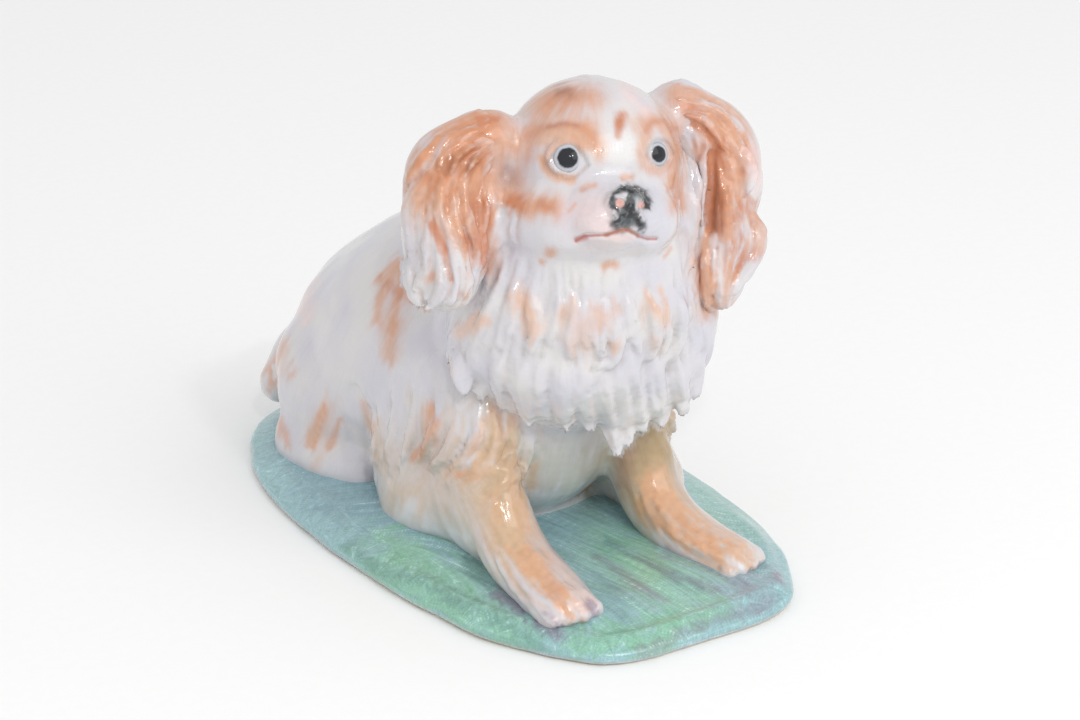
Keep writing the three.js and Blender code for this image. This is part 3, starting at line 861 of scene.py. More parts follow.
def make_head_and_ears():
    blocks = [ball(form, HEAD) for form in (SKULL, JAW, MUZZLE, *LIPS, *CHEEK_PADS, *EAR_ROOTS)]
    blocks += [ball(NAPE), *limb(RUFF_CORE), *limb(BIB_CORE)]
    blocks += [ball(form) for form in RUFF_SIDES]
    core = fuse(blocks, "head_core", CORE_GRAIN, HEAD_CORE_ROUNDS)
    ear_cores = [fuse(limb(ear.sections, HEAD), "ear_core", CORE_GRAIN, EAR_CORE_ROUNDS) for ear in EARS]
    skin = skin_of(core, *ear_cores)
    eyes = {}
    for name, pixel in EYE_PIXELS.items():
        look = (HEAD.to_3x3() @ EYE_LOOK[name]).normalized()
        eyes[name] = (cast(skin, pixel)[0] - EYE_PROUD * aim_of(pixel), look)

    ears = []
    for ear, ear_core in zip(EARS, ear_cores):
        paths = laid(skin, ear.locks, EAR_TIP) + ear_back_locks(ear)
        ears.append((fuse([ear_core, ropes(paths)], ear.name, EAR_GRAIN, HAIR_ROUNDS), paths))

    paths = []
    for locks, tip in ((CHEEK_LOCKS, CHEEK_TIP), (RUFF_LOCKS, RUFF_TIP), (BIB_LOCKS, BIB_TIP)):
        paths += laid(skin, locks, tip)
    for seed, row in enumerate(RUFF_ROWS + BIB_ROWS + NAPE_ROWS, FIRST_ROW_SEED):
        paths += hair_row(row, seed)
    blocks = [core, ropes(paths), ball(NOSE, HEAD)]
    for eye, look in eyes.values():
        blocks += [make_socket(eye, look), make_lid(eye, look)]
    head = fuse(blocks, "head", HEAD_GRAIN, HEAD_ROUNDS)
    clay = Clay(head)
    refine(head, (clay.facing > MUZZLE_FACING) & clay.inside(MUZZLE_BOX))
    return (head, paths), *ears, eyes


def make_eye(name, eye, look):
    deselect()
    bpy.ops.mesh.primitive_uv_sphere_add(
        segments=EYE_SEGMENTS, ring_count=EYE_RINGS, radius=EYE_RADIUS[name]
    )
    eyeball = put(bpy.context.object, looking(eye - EYE_RADIUS[name] * look, look))
    eyeball.name = eyeball.data.name = f"{name}_eye"
    bpy.ops.object.shade_smooth()
    return eyeball


# The base: its edge is straight for a little and round above and below. Noise has a cell in millimetres and a
# seed, and a pair of insets or places is where an effect starts and where it is full.

OUTLINE_STEPS, RIM_STRAIGHT, RIM_ROUNDNESS, VENT_SIDES = 8, 0.2, 4, 64
ROUND_CELL, ROUND_SEED, ROUND_WANDER = 14, 2, 1.6
DENT_CELL, DENT_SEED, DENT_WANDER = 5, 6, 0.5
WANDER_INSET, LEVEL_FOOT = (5, 1), 1.5
LIP_FRONT, LIP_SLANT, LIP_SPREAD = (-20, -50), 0.3, 2.5
CROWN_INSET, GROUND_SWELL, GROUND_INSET, RIM_DROP, DROP_INSET = 1, 0.9, (2, 8), 0.8, (6, 1)
OUTWARD_INSET, NEAREST_STRIDE = (16, 3), 3
FRONT_FLOW, SIDE_FLOW = np.array((0.2, -1, 0)), np.array((0.83, -0.55, 0))
SIDE_ACROSS, SIDE_ALONG = (-15, -35), (-30, 0)


def make_base():
    curve = bpy.data.curves.new("outline", "CURVE")
    curve.dimensions = "2D"
    curve.fill_mode = "BOTH"
    curve.resolution_u = OUTLINE_STEPS
    rim = BASE_RIM_HEIGHT / 2 - RIM_STRAIGHT
    curve.extrude = RIM_STRAIGHT
    curve.bevel_depth = rim
    curve.bevel_resolution = RIM_ROUNDNESS
    curve.offset = -rim
    spline = curve.splines.new("BEZIER")
    spline.bezier_points.add(len(WHOLE_OUTLINE) - 1)
    for point, (x, y) in zip(spline.bezier_points, WHOLE_OUTLINE):
        point.co = (x, y, 0)
        point.handle_left_type = point.handle_right_type = "AUTO"
    spline.use_cyclic_u = True
    plate = put(to_mesh(curve), Matrix.Translation((0, 0, BASE_RIM_HEIGHT / 2)))
    plate = fuse([plate], "base", BASE_GRAIN, BASE_ROUNDS)
    deselect()
    bpy.ops.mesh.primitive_cylinder_add(
        vertices=VENT_SIDES,
        radius=BASE_VENT_RADIUS * MM,
        depth=BASE_VENT_DEPTH * MM,
        location=(0, BASE_VENT_Y * MM, 0),
    )
    drill = bpy.context.object
    bpy.context.view_layer.objects.active = plate
    modifier(plate, "BOOLEAN", operation="DIFFERENCE", solver="EXACT", object=drill)
    bpy.data.objects.remove(drill)
    return plate


def rim_line():
    """Points close together round the base's outline, on a smooth curve through its corners."""
    outline = np.array(WHOLE_OUTLINE, float)
    before, after, later = np.roll(outline, 1, 0), np.roll(outline, -1, 0), np.roll(outline, -2, 0)
    slope = after - before
    bend = 2 * before - 5 * outline + 4 * after - later
    turn = 3 * outline - before - 3 * after + later
    line = []
    for share in np.arange(0, 1, 1 / OUTLINE_STEPS):
        line.append(0.5 * (2 * outline + slope * share + bend * share**2 + turn * share**3))
    return np.stack(line, axis=1).reshape(-1, 2)


def model_base(clay):
    """Raises the mound's crown and its front lip, lets the rim wander, and brushes the ground outwards."""
    line = rim_line()
    flat = clay.places[:, :2]
    inset = np.full(len(flat), np.inf)
    for start, end in zip(line, np.roll(line, -1, 0)):
        inset = np.minimum(inset, distance_to_segment(flat, start, end))
    across, along_body = flat.T
    rounds = lattice_noise(clay.places / ROUND_CELL, ROUND_SEED) - 0.5
    dents = lattice_noise(clay.places / DENT_CELL, DENT_SEED) - 0.5
    wander = smoothstep(*WANDER_INSET, inset) * (ROUND_WANDER * rounds + DENT_WANDER * dents)
    clay.places[:, :2] += clay.normals[:, :2] * wander[:, None]
    share = np.clip((clay.places[:, 2] - LEVEL_FOOT) / (BASE_RIM_HEIGHT - LEVEL_FOOT), 0, 1)
    front = smoothstep(*LIP_FRONT, along_body + LIP_SLANT * across)
    lip = BASE_LIP_HEIGHT * front * np.exp(-(((inset - BASE_LIP_INSET) / LIP_SPREAD) ** 2))
    crown = (BASE_CROWN_HEIGHT - BASE_RIM_HEIGHT) * smoothstep(CROWN_INSET, BASE_CROWN_REACH, inset)
    swell = GROUND_SWELL * rounds * smoothstep(*GROUND_INSET, inset)
    drop = RIM_DROP * smoothstep(*DROP_INSET, inset)
    clay.places[:, 2] += share * (crown + lip + swell - drop)
    clay.refresh()
    corners = line[::NEAREST_STRIDE]
    nearest = corners[np.argmin([np.linalg.norm(flat - point, axis=1) for point in corners], axis=0)]
    outward = np.c_[nearest - flat, np.zeros(len(flat))]
    outward /= np.maximum(np.linalg.norm(outward, axis=1, keepdims=True), TINY)
    edge = smoothstep(*OUTWARD_INSET, inset)[:, None]
    side = (smoothstep(*SIDE_ACROSS, across) * smoothstep(*SIDE_ALONG, along_body))[:, None]
    flow = (1 - side) * FRONT_FLOW + side * SIDE_FLOW
    clay.lay_flow((1 - edge) * flow + edge * outward)
    clay.hair = np.ones(len(flat))


# Combed grooves, and a slow swell where there is no hair: width and length in millimetres, and seed

GROOVE_LENGTH, GROOVE_SEED = 9, 5
FINE_SHARE, FINE_LENGTH, FINE_SEED = 0.5, 7, 6
SWELL_DEPTH, SWELL = 0.12, (4.5, 24, 7)
# How far a lock combs the clay beside it, in millimetres, and the way the body's hair lies elsewhere
BODY_REACH, HAIR_REACH, BODY_WAY = 4, 3, (0, 0.4, -0.9)


def groove(clay, width, depth):
    """Combs grooves into the hair and cuts the carvings."""
    relief = combed(clay.places, clay.flow, width, GROOVE_LENGTH, GROOVE_SEED)
    relief += FINE_SHARE * combed(clay.places, clay.flow, FINE_SHARE * width, FINE_LENGTH, FINE_SEED)
    relief *= depth * clay.hair
    relief += SWELL_DEPTH * (1 - clay.hair) * combed(clay.places, clay.flow, *SWELL)
    clay.push(relief - sum(carving.depth * clay.near(carving) for carving in CARVINGS))


body, body_paths = make_body()
(head, head_paths), (right_ear, right_ear_paths), (left_ear, left_ear_paths), eyes = make_head_and_ears()
right_eye, left_eye = (make_eye(name, *eyes[name]) for name in ("right", "left"))
base = make_base()

clays = body_clay, head_clay, right_ear_clay, left_ear_clay, base_clay = [
    Clay(piece) for piece in (body, head, right_ear, left_ear, base)
]
body_clay.comb(body_paths, BODY_REACH, BODY_WAY, (RIGHT_FORELEG[1:], LEFT_FORELEG[1:]))
head_clay.comb(head_paths, HAIR_REACH)
right_ear_clay.comb(right_ear_paths, HAIR_REACH)
left_ear_clay.comb(left_ear_paths, HAIR_REACH)
model_base(base_clay)
body_clay.places[:, 2] = np.maximum(body_clay.places[:, 2], BODY_BOTTOM)
body_clay.refresh()
find_sight(clays)
groove(body_clay, width=1.9, depth=0.34)
groove(head_clay, width=2.2, depth=0.42)
groove(right_ear_clay, width=2.0, depth=0.36)
groove(left_ear_clay, width=2.0, depth=0.36)

# Enamel


def linear(red, green, blue):
    """A colour as the screen shows it, from 0 to 255, in the shader's numbers."""
    shown = np.array((red, green, blue)) / 255
    return np.where(shown <= 0.04045, shown / 12.92, ((shown + 0.055) / 1.055) ** 2.4)


ENAMELS = {
    "fawn": linear(208, 150, 114),
    "deep fawn": linear(192, 118, 78),
    "brown": linear(152, 92, 60),
    "ochre": linear(206, 176, 144),
    "tan": linear(172, 146, 104),
    "orange": linear(220, 168, 130),
    "pink": linear(232, 200, 196),
    "nostril": linear(226, 168, 154),
    "red": linear(178, 98, 88),
    "black": linear(22, 24, 28),
    "slate": linear(100, 110, 114),
    "shade": linear(180, 170, 164),
    # painted shade, for the chest under the bib
    "shadow grey green": linear(190, 190, 176),
    "mauve": linear(134, 116, 140),
    "white": linear(222, 219, 222),
    "turquoise": linear(150, 188, 192),
    "green": linear(134, 190, 156),
    "blue grey": linear(134, 168, 182),
    "dark teal": linear(96, 134, 134),
    "pale mauve": linear(200, 185, 195),
    "biscuit": linear(226, 216, 200),
    "pale turquoise": linear(178, 210, 208),
}

# Strokes in the picture: enamel, half width in pixels, strength, points, and how sharp the edge is

Mark = namedtuple("Mark", "enamel width strength points edge", defaults=[SOFT])
FACE_MARKS = [
    Mark("fawn", 14, 0.8, [(545, 104), (562, 97), (582, 97), (590, 100)]),
    Mark("fawn", 8, 0.35, [(530, 112), (548, 101)]),
    Mark("deep fawn", 8, 0.45, [(552, 97), (572, 93)]),
    Mark("brown", 5, 0.65, [(559, 91), (567, 90)]),
    Mark("fawn", 13, 0.7, [(512, 146), (528, 136), (548, 128), (568, 127), (584, 132)]),
    Mark("fawn", 7, 0.4, [(586, 131), (597, 143), (600, 156)]),
    Mark("orange", 9, 0.5, [(544, 141), (562, 135), (582, 138), (595, 149)]),
    Mark("deep fawn", 4, 0.4, [(527, 138), (540, 129), (560, 124), (580, 128), (592, 137), (599, 150)]),
    Mark("brown", 2.2, 0.35, [(548, 127), (562, 123), (577, 126)]),
    Mark("fawn", 8, 0.3, [(516, 150), (532, 156)]),
    Mark("orange", 4, 0.75, [(541, 158), (545, 169), (554, 177), (572, 179)]),
    Mark("fawn", 4.5, 0.55, [(547, 160), (552, 149), (562, 143), (573, 142), (584, 147)]),
    Mark("deep fawn", 5.5, 0.8, [(622, 117), (621, 124)]),
    Mark("deep fawn", 3.5, 0.7, [(619, 122), (618, 136)]),
    Mark("fawn", 11, 0.75, [(646, 124), (660, 121), (672, 131), (678, 146)]),
    Mark("deep fawn", 3.5, 0.45, [(646, 131), (653, 121), (666, 121), (675, 132), (679, 148)]),
    Mark("fawn", 5, 0.6, [(646, 138), (641, 152), (644, 166), (656, 171), (668, 166)]),
    Mark("fawn", 8, 0.65, [(678, 150), (677, 165), (674, 178)]),
    Mark("fawn", 9, 0.8, [(676, 182), (678, 205)]),
    Mark("deep fawn", 5, 0.45, [(677, 192), (679, 204)]),
    Mark("pink", 8, 0.5, [(627, 88), (632, 97)]),
    Mark("pink", 7, 0.5, [(647, 110)]),
    Mark("fawn", 3.5, 0.7, [(623, 176), (632, 177)]),
    Mark("fawn", 3, 0.65, [(582, 189), (595, 185)]),
    Mark("fawn", 2.2, 0.7, [(570, 211), (575, 204)]),
    Mark("fawn", 11, 0.55, [(513, 182), (511, 202)]),
    Mark("fawn", 11, 0.85, [(508, 203), (530, 206), (552, 206)]),
    Mark("deep fawn", 8, 0.55, [(510, 200), (518, 206)]),
    Mark("deep fawn", 6, 0.5, [(542, 206), (549, 207)]),
    Mark("fawn", 5, 0.8, [(551, 252)]),
    Mark("fawn", 3, 0.65, [(542, 261)]),
    Mark("fawn", 4.5, 0.75, [(606, 266), (615, 265)]),
    Mark("fawn", 1.8, 0.5, [(664, 257), (671, 248)]),
    Mark("pink", 20, 0.5, [(586, 210), (606, 222)]),
    # a thin slate line along the right upper lid: a painted lid line, partly painted shadow under the lid
    Mark(
        "slate",
        2,
        0.4,
        [(547, 164), (553, 154), (560, 147), (569, 145), (578, 148), (585, 157), (589, 166)],
    ),
    Mark("brown", 2, 0.3, [(550, 167), (556, 175), (566, 178.5), (577, 176), (586, 168)]),
    # a thin slate line along the left upper lid: a painted lid line, partly painted shadow under the lid
    Mark("slate", 2, 0.3, [(647, 153), (650, 145), (656, 140), (664, 140), (670, 145), (673, 153)]),
    Mark("brown", 2, 0.3, [(647, 156), (652, 162), (660, 164.5), (668, 161)]),
    Mark("slate", 1.6, 0.7, [(602, 150)]),
    Mark("slate", 9, 0.5, [(620, 197), (630, 194), (641, 198)]),
    Mark("slate", 8, 0.5, [(617, 215), (628, 219), (639, 221)]),
    Mark("black", 4.6, 1.0, [(617, 195), (624, 190), (634, 189), (643, 193), (647, 201), (647, 206)], CRISP),
    Mark("black", 6, 1.0, [(630, 196), (631, 208)], CRISP),
    Mark("black", 7.5, 1.0, [(629, 212), (623, 219)], CRISP),
    Mark("black", 5, 0.9, [(628, 214), (629, 222)], FIRM),
    Mark("black", 4.5, 0.9, [(619, 222), (615, 225)], FIRM),
    Mark("black", 4.5, 1.0, [(634, 213), (638, 221), (641, 227)], FIRM),
    Mark("black", 3, 0.9, [(613, 199), (612, 206), (616, 210)], FIRM),
    Mark("nostril", 4.2, 0.85, [(620, 203)], SHARP),
    Mark("nostril", 3.4, 0.85, [(641, 205)], SHARP),
    # painted highlight: white on the nose's upper left
    Mark("white", 2.4, 0.75, [(617, 197), (625, 194)], FIRM),
    Mark("slate", 2.2, 0.8, [(636, 194), (642, 197)], FIRM),
    # painted highlights: white flecks beside the nostrils
    Mark("white", 1.6, 0.6, [(614, 213), (616, 217)], FIRM),
    Mark("white", 1.8, 0.6, [(640, 214), (643, 218)], FIRM),
    Mark("slate", 5, 0.5, [(627, 225), (622, 229)]),
    Mark("red", 1.4, 0.7, MOUTH, SHARP),
    Mark("red", 2.4, 0.7, [(577, 240), (586, 237)]),
    Mark("brown", 2, 0.7, [(606, 235), (619, 231), (628, 230), (637, 235)]),
    Mark("pink", 3, 0.4, [(613, 238), (632, 238)]),
]
RIGHT_EAR_MARKS = [
    Mark("fawn", 24, 0.95, [(488, 128), (458, 142), (436, 160)]),
    Mark("fawn", 26, 0.6, [(478, 165), (450, 190), (424, 205)]),
    Mark("fawn", 14, 0.55, [(484, 180), (480, 225), (484, 262)]),
    Mark("fawn", 14, 0.45, [(440, 205), (446, 240)]),
    Mark("fawn", 18, 0.8, [(470, 165), (448, 180), (420, 178)]),
    Mark("fawn", 15, 0.55, [(478, 190), (455, 205), (424, 203)]),
    Mark("fawn", 10, 0.5, [(484, 195), (484, 235)]),
    Mark("fawn", 8, 0.4, [(452, 215), (458, 240)]),
    Mark("deep fawn", 3.5, 0.8, [(478, 120), (498, 118)]),
    Mark("deep fawn", 16, 0.35, [(488, 128), (458, 142)]),
    Mark("deep fawn", 12, 0.55, [(478, 150), (462, 160), (448, 168)]),
    Mark("shade", 22, 0.35, [(420, 250), (436, 290)]),
    Mark("brown", 5, 0.65, [(481, 146), (466, 152), (455, 163)]),
    Mark("brown", 4.5, 0.7, [(477, 156), (467, 172)]),
    Mark("brown", 3.5, 0.6, [(449, 154), (446, 172)]),
    Mark("brown", 3.5, 0.55, [(436, 153), (437, 168)]),
    Mark("deep fawn", 7, 0.6, [(434, 181), (424, 171)]),
    Mark("deep fawn", 5, 0.5, [(470, 196), (470, 212)]),
    Mark("deep fawn", 5.5, 0.8, [(432, 222), (437, 236), (443, 252)]),
    Mark("deep fawn", 3.5, 0.45, [(446, 252), (451, 277)]),
    Mark("deep fawn", 6, 0.75, [(486, 205), (481, 232), (483, 262)]),
    Mark("deep fawn", 3.5, 0.65, [(462, 231), (467, 243)]),
    Mark("fawn", 5, 0.65, [(431, 277)]),
    Mark("fawn", 5, 0.65, [(465, 294)]),
]
LEFT_EAR_MARKS = [
    Mark("fawn", 15, 0.8, [(676, 92), (690, 100), (712, 108), (735, 125)]),
    Mark("fawn", 15, 0.8, [(715, 125), (735, 145), (742, 160)]),
    Mark("fawn", 12, 0.75, [(720, 160), (726, 200), (724, 230)]),
    Mark("deep fawn", 6, 0.6, [(683, 106), (694, 109)]),
    Mark("deep fawn", 5, 0.7, [(698, 122), (710, 131), (722, 148)]),
    Mark("deep fawn", 9, 0.8, [(716, 152), (720, 175), (716, 203), (713, 229)]),
    Mark("brown", 6, 0.75, [(714, 190), (712, 228)]),
    Mark("brown", 4, 0.5, [(713, 156), (716, 182)]),
    Mark("fawn", 6, 0.6, [(699, 153), (711, 169)]),
    Mark("fawn", 10, 0.55, [(732, 180), (736, 225)]),
    Mark("deep fawn", 10, 0.7, [(739, 211), (750, 213)]),
    Mark("deep fawn", 11, 0.65, [(737, 256), (748, 254)]),
    Mark("fawn", 8, 0.6, [(758, 226), (757, 245)]),
    Mark("fawn", 11, 0.85, [(709, 243), (706, 270), (709, 306)]),
    Mark("fawn", 9, 0.6, [(727, 262), (726, 300)]),
    Mark("white", 3, 0.6, [(720, 246), (720, 298)]),
    Mark("pink", 8, 0.5, [(752, 150), (756, 180)]),
]
RUFF_MARKS = [
    Mark("orange", 9, 0.6, [(518, 298), (523, 307)]),
    Mark("orange", 11, 0.6, [(529, 315), (532, 324)]),
    Mark("orange", 6, 0.55, [(461, 335), (473, 328), (485, 321)]),
    Mark("orange", 4.5, 0.5, [(447, 366), (446, 380)]),
    Mark("orange", 7, 0.3, [(571, 307)]),
    Mark("orange", 14, 0.4, [(580, 326), (581, 340)]),
    Mark("orange", 8, 0.5, [(599, 314), (602, 322)]),
    Mark("orange", 6, 0.4, [(616, 311)]),
    Mark("orange", 6, 0.5, [(616, 346)]),
    Mark("orange", 11, 0.65, [(654, 305), (656, 313)]),
    Mark("orange", 6, 0.35, [(655, 342)]),
    Mark("orange", 6, 0.4, [(563, 313)]),
]
BODY_MARKS = [
    Mark("fawn", 6, 0.75, [(400, 264), (385, 284), (380, 304), (377, 326)]),
    Mark("fawn", 12, 0.25, [(402, 268), (394, 300), (390, 335)]),
    Mark("fawn", 4, 0.7, [(404, 270), (397, 298), (391, 330)]),
    Mark("deep fawn", 5, 0.55, [(386, 286), (400, 293)]),
    Mark("fawn", 6, 0.6, [(394, 321), (388, 352)]),
    Mark("fawn", 6, 0.3, [(402, 262), (404, 290)]),
    Mark("pink", 8, 0.6, [(306, 297), (301, 313)]),
    Mark("pink", 6, 0.5, [(315, 283)]),
    Mark("fawn", 7, 0.65, [(281, 343), (276, 366), (270, 380)]),
    Mark("fawn", 6, 0.55, [(291, 376)]),
    Mark("fawn", 3.5, 0.75, [(325, 410), (318, 430), (312, 450)]),
    Mark("fawn", 3.5, 0.65, [(341, 424), (330, 446)]),
    Mark("fawn", 3, 0.6, [(317, 416), (307, 446)]),
    Mark("orange", 13, 0.3, [(326, 415), (318, 448)]),
    Mark("fawn", 5, 0.6, [(278, 418), (285, 443)]),
    Mark("ochre", 9, 0.55, [(374, 425), (384, 467)]),
    Mark("fawn", 4, 0.5, [(366, 405), (372, 430)]),
    Mark("ochre", 20, 0.35, [(400, 478), (440, 490), (490, 505)]),
    Mark("ochre", 12, 0.45, [(384, 497), (405, 492)]),
    Mark("ochre", 22, 0.5, [(430, 430), (440, 465)]),
    Mark("fawn", 6, 0.75, [(431, 412), (430, 438), (419, 448), (418, 460)]),
    Mark("orange", 5, 0.6, [(482, 421), (471, 448)]),
    Mark("deep fawn", 6, 0.55, [(495, 417), (500, 428)]),
    Mark("fawn", 6, 0.6, [(515, 420), (512, 440)]),
    Mark("ochre", 20, 0.5, [(500, 425), (495, 455), (475, 475)]),
    Mark("orange", 8, 0.6, [(505, 440), (495, 458), (478, 470), (455, 478)]),
    Mark("fawn", 4.5, 0.7, [(460, 478), (482, 476), (503, 468)]),
    Mark("ochre", 30, 0.65, [(505, 470), (500, 500), (505, 535)]),
    Mark("ochre", 18, 0.3, [(430, 505), (470, 520)]),
    Mark("orange", 24, 0.4, [(510, 535), (545, 575), (570, 600)]),
    Mark("ochre", 18, 0.6, [(500, 460), (504, 495), (512, 530)]),
    Mark("orange", 10, 0.65, [(515, 470), (517, 500), (522, 525)]),
    Mark("orange", 6, 0.5, [(494, 498), (500, 520)]),
    Mark("tan", 16, 0.3, [(505, 470), (506, 500), (514, 530)]),
    Mark("ochre", 14, 0.7, [(508, 540), (535, 572)]),
    Mark("orange", 9, 0.75, [(522, 550), (545, 580), (562, 598)]),
    Mark("deep fawn", 6, 0.25, [(550, 588), (562, 598)]),
    Mark("orange", 5, 0.6, [(530, 564), (548, 592)]),
    Mark("white", 5, 0.5, [(536, 608), (560, 622), (580, 628)]),
    Mark("orange", 7, 0.5, [(562, 600), (580, 612)]),
    Mark("mauve", 3, 0.8, [(570, 628), (577, 634)]),
    Mark("mauve", 4.5, 0.6, [(588, 606), (596, 616), (594, 630)]),
    Mark("mauve", 3, 0.5, [(544, 612), (556, 622), (564, 628)]),
    Mark("white", 4, 0.6, [(372, 511), (420, 528), (468, 539)]),
    # painted shade: grey green on the chest between the forelegs, under the bib
    Mark("shadow grey green", 24, 0.6, [(545, 462), (575, 478), (608, 474)]),
    # partly the leg's own ochre, partly painted shadow at the near foreleg's inner edge
    Mark("ochre", 4, 0.7, [(536, 468), (531, 492)]),
    # painted light: a white band along the chest's foot, a painted highlight that lightens the shade between
    # the legs
    Mark("white", 9, 0.8, [(540, 502), (575, 500), (610, 493)]),
    # the far foreleg's tan: its own colour, darkened as painted shade
    Mark("tan", 34, 0.9, [(660, 430), (648, 465), (650, 492)]),
    Mark("ochre", 26, 0.6, [(660, 500), (690, 525), (725, 555)]),
    Mark("brown", 9, 0.35, [(628, 452), (622, 480)]),
    # more tan on the far foreleg, partly painted shade
    Mark("tan", 14, 0.35, [(650, 440), (650, 490)]),
    Mark("orange", 13, 0.6, [(660, 490), (668, 510)]),
    Mark("orange", 15, 0.8, [(655, 502), (685, 527), (715, 547)]),
    Mark("orange", 9, 0.75, [(685, 529), (715, 545), (748, 562)]),
    Mark("white", 5, 0.7, [(725, 573), (745, 573), (762, 571)]),
    Mark("mauve", 3, 0.55, [(752, 575), (764, 568)]),
    # painted shadow: the mauve line along the far paw's lower edge
    Mark("mauve", 3, 0.55, [(668, 552), (696, 569), (722, 580)]),
]
BASE_MARKS = [
    Mark("blue grey", 26, 0.7, [(300, 450), (330, 490), (430, 525)]),
    Mark("green", 22, 0.75, [(375, 560), (440, 600), (520, 640)]),
    Mark("green", 18, 0.6, [(400, 545), (470, 580)]),
    Mark("green", 20, 0.7, [(580, 645), (660, 625)]),
    Mark("green", 20, 0.6, [(590, 540), (650, 565)]),
    Mark("green", 22, 0.35, [(700, 490), (740, 530)]),
    Mark("blue grey", 16, 0.5, [(520, 520), (575, 530)]),
    Mark("dark teal", 12, 0.45, [(560, 555), (600, 585), (622, 610)]),
    # painted shadow: dark teal and mauve on the base along the near paw's left side
    Mark("dark teal", 9, 0.75, [(470, 567), (498, 588), (532, 612), (552, 623)]),
    Mark("mauve", 6, 0.6, [(495, 590), (532, 616), (560, 632)]),
    # painted shadow: mauve on the base under the far paw
    Mark("mauve", 9, 0.5, [(660, 548), (700, 568), (742, 582)]),
    Mark("mauve", 14, 0.3, [(700, 602), (765, 588)]),
    Mark("mauve", 10, 0.25, [(620, 592), (680, 602)]),
    Mark("mauve", 6, 0.7, [(777, 581)]),
    # partly the ground's lighter turquoise, partly painted light against the shade between the paws
    Mark("pale turquoise", 30, 0.3, [(585, 545), (640, 580), (680, 600)]),
    Mark("dark teal", 7, 0.5, [(350, 545), (450, 598), (540, 645)]),
    Mark("green", 26, 0.55, [(625, 560), (690, 592)]),
    Mark("green", 12, 0.5, [(640, 640), (720, 612)]),
    Mark("mauve", 4, 0.45, [(596, 556), (640, 586), (664, 598)]),
    Mark("mauve", 3, 0.45, [(620, 548), (676, 578), (720, 592)]),
    Mark("dark teal", 4, 0.45, [(606, 540), (652, 566), (700, 590)]),
    Mark("mauve", 5, 0.4, [(640, 650), (700, 628), (770, 604)]),
]

# How a brush strays: its drift for each pixel of its width, the most that it drifts, and a firm one's shake
BRUSH_DRIFT, MOST_DRIFT, FIRM_SHAKE = 0.6, 7.0, 4.0
# Noise that a brush leaves: width and length in millimetres, and seed
RAGGED, DRAG, SWAY, BARE = (1.2, 7, 31), (1.7, 12, 41), (3.5, 6, 43), (1.6, 11, 37)
SWAY_ACROSS, SWAY_ALONG, BARE_RANGE = 0.35, 0.4, (0.2, 1.4)
SHAKE_CELL, SHAKE_SEEDS = 0.9, (45, 46)
WEAR, HAIR_WEAR = 0.08, 0.16
MIRROR_FACING = (0, 0.25)


class Enamelling:
    """Coats of enamel on a piece of clay: a colour and how much it covers, for each vertex."""

    def __init__(self, clay, first, loose=1.0, bare=0.28):
        self.clay = clay
        self.colour = np.tile(ENAMELS[first], (len(clay.places), 1))
        self.cover = np.zeros(len(clay.places))
        self.ragged, drag, sway, bared = (
            combed(clay.places, clay.flow, *noise) for noise in (RAGGED, DRAG, SWAY, BARE)
        )
        self.wear = WEAR + HAIR_WEAR * clay.hair
        loosely = loose + (1 - loose) * clay.hair
        self.drift = loosely[:, None] * np.stack([SWAY_ACROSS * sway, drag + SWAY_ALONG * sway], axis=1)
        shakes = [lattice_noise(clay.places / SHAKE_CELL, seed) - 0.5 for seed in SHAKE_SEEDS]
        self.shake = np.stack(shakes, axis=1)
        self.bare = bare * clay.hair * smoothstep(*BARE_RANGE, bared)

    def lay(self, enamel, weight):
        share = weight / np.maximum(weight + self.cover * (1 - weight), TINY)
        self.colour += (ENAMELS[enamel] - self.colour) * share[:, None]
        self.cover += weight * (1 - self.cover)

    def stroke(self, marks):
        seen = self.clay.pixels
        for mark in marks:
            if mark.edge < FIRM:
                self.clay.pixels = seen + min(BRUSH_DRIFT * mark.width, MOST_DRIFT) * self.drift
            else:
                self.clay.pixels = seen + (0 if mark.edge == SHARP else FIRM_SHAKE) * self.shake
            weight = self.clay.near(mark)
            ragged = np.clip(weight + self.wear * self.ragged * 4 * weight * (1 - weight), 0, 1)
            self.lay(mark.enamel, mark.strength * ragged * (1 - self.bare))
        self.clay.pixels = seen

    def mirrored_stroke(self, marks):
        """The same marks on the side that the picture doesn't show."""
        seen = self.clay.pixels, self.clay.sight
        flip = np.array((-1, 1, 1))
        self.clay.pixels, _ = project(self.clay.places * flip)
        facing = self.clay.normals * flip @ np.array(TO_CAMERA)
        self.clay.sight = smoothstep(*MIRROR_FACING, facing) * (self.clay.places[:, 0] > 0) * (1 - seen[1])
        self.stroke(marks)
        self.clay.pixels, self.clay.sight = seen

    def store(self):
        self.clay.store("paint", np.c_[self.colour, self.cover])
        self.clay.store("flow", self.clay.flow)


# Patches that come from noise: its cell in millimetres, its seed, where a patch starts and where it is full,
# and how strong it is. A pair of heights or of depths is where an enamel starts and where it is full.

Patches = namedtuple("Patches", "cell seed low high strength")
BACK_PATCHES, BACK_HEIGHT, BACK_RAGGED = Patches(17, 23, 0.6, 0.68, 0.65), (50, 62), 0.05
NAPE_PATCHES, NAPE_HEIGHT, HEAD_LOOSE = Patches(13, 21, 0.52, 0.66, 0.7), (92, 104), 0.3
NOSE_FLECKS, NOSE_COVER = Patches(0.7, 12, 0.58, 0.72, 0.55), (0.6, 0.9)
EAR_PATCHES, EAR_HEIGHT, EAR_BARE = Patches(9, 4, 0.6, 0.75, 0.5), (-34, -4), 0.5
EAR_THIN, EAR_CLOUDY = 0.35, 0.5
GROUND_PATCHES, RIM_MAUVE, RIM_FOOT = Patches(11, 9, 0.5, 0.75, 0.5), 0.3, (2.5, 1)
UNDERSIDE_FACING = (-0.6, -0.9)
HOLLOW_DEPTH = (0.05, 0.5)
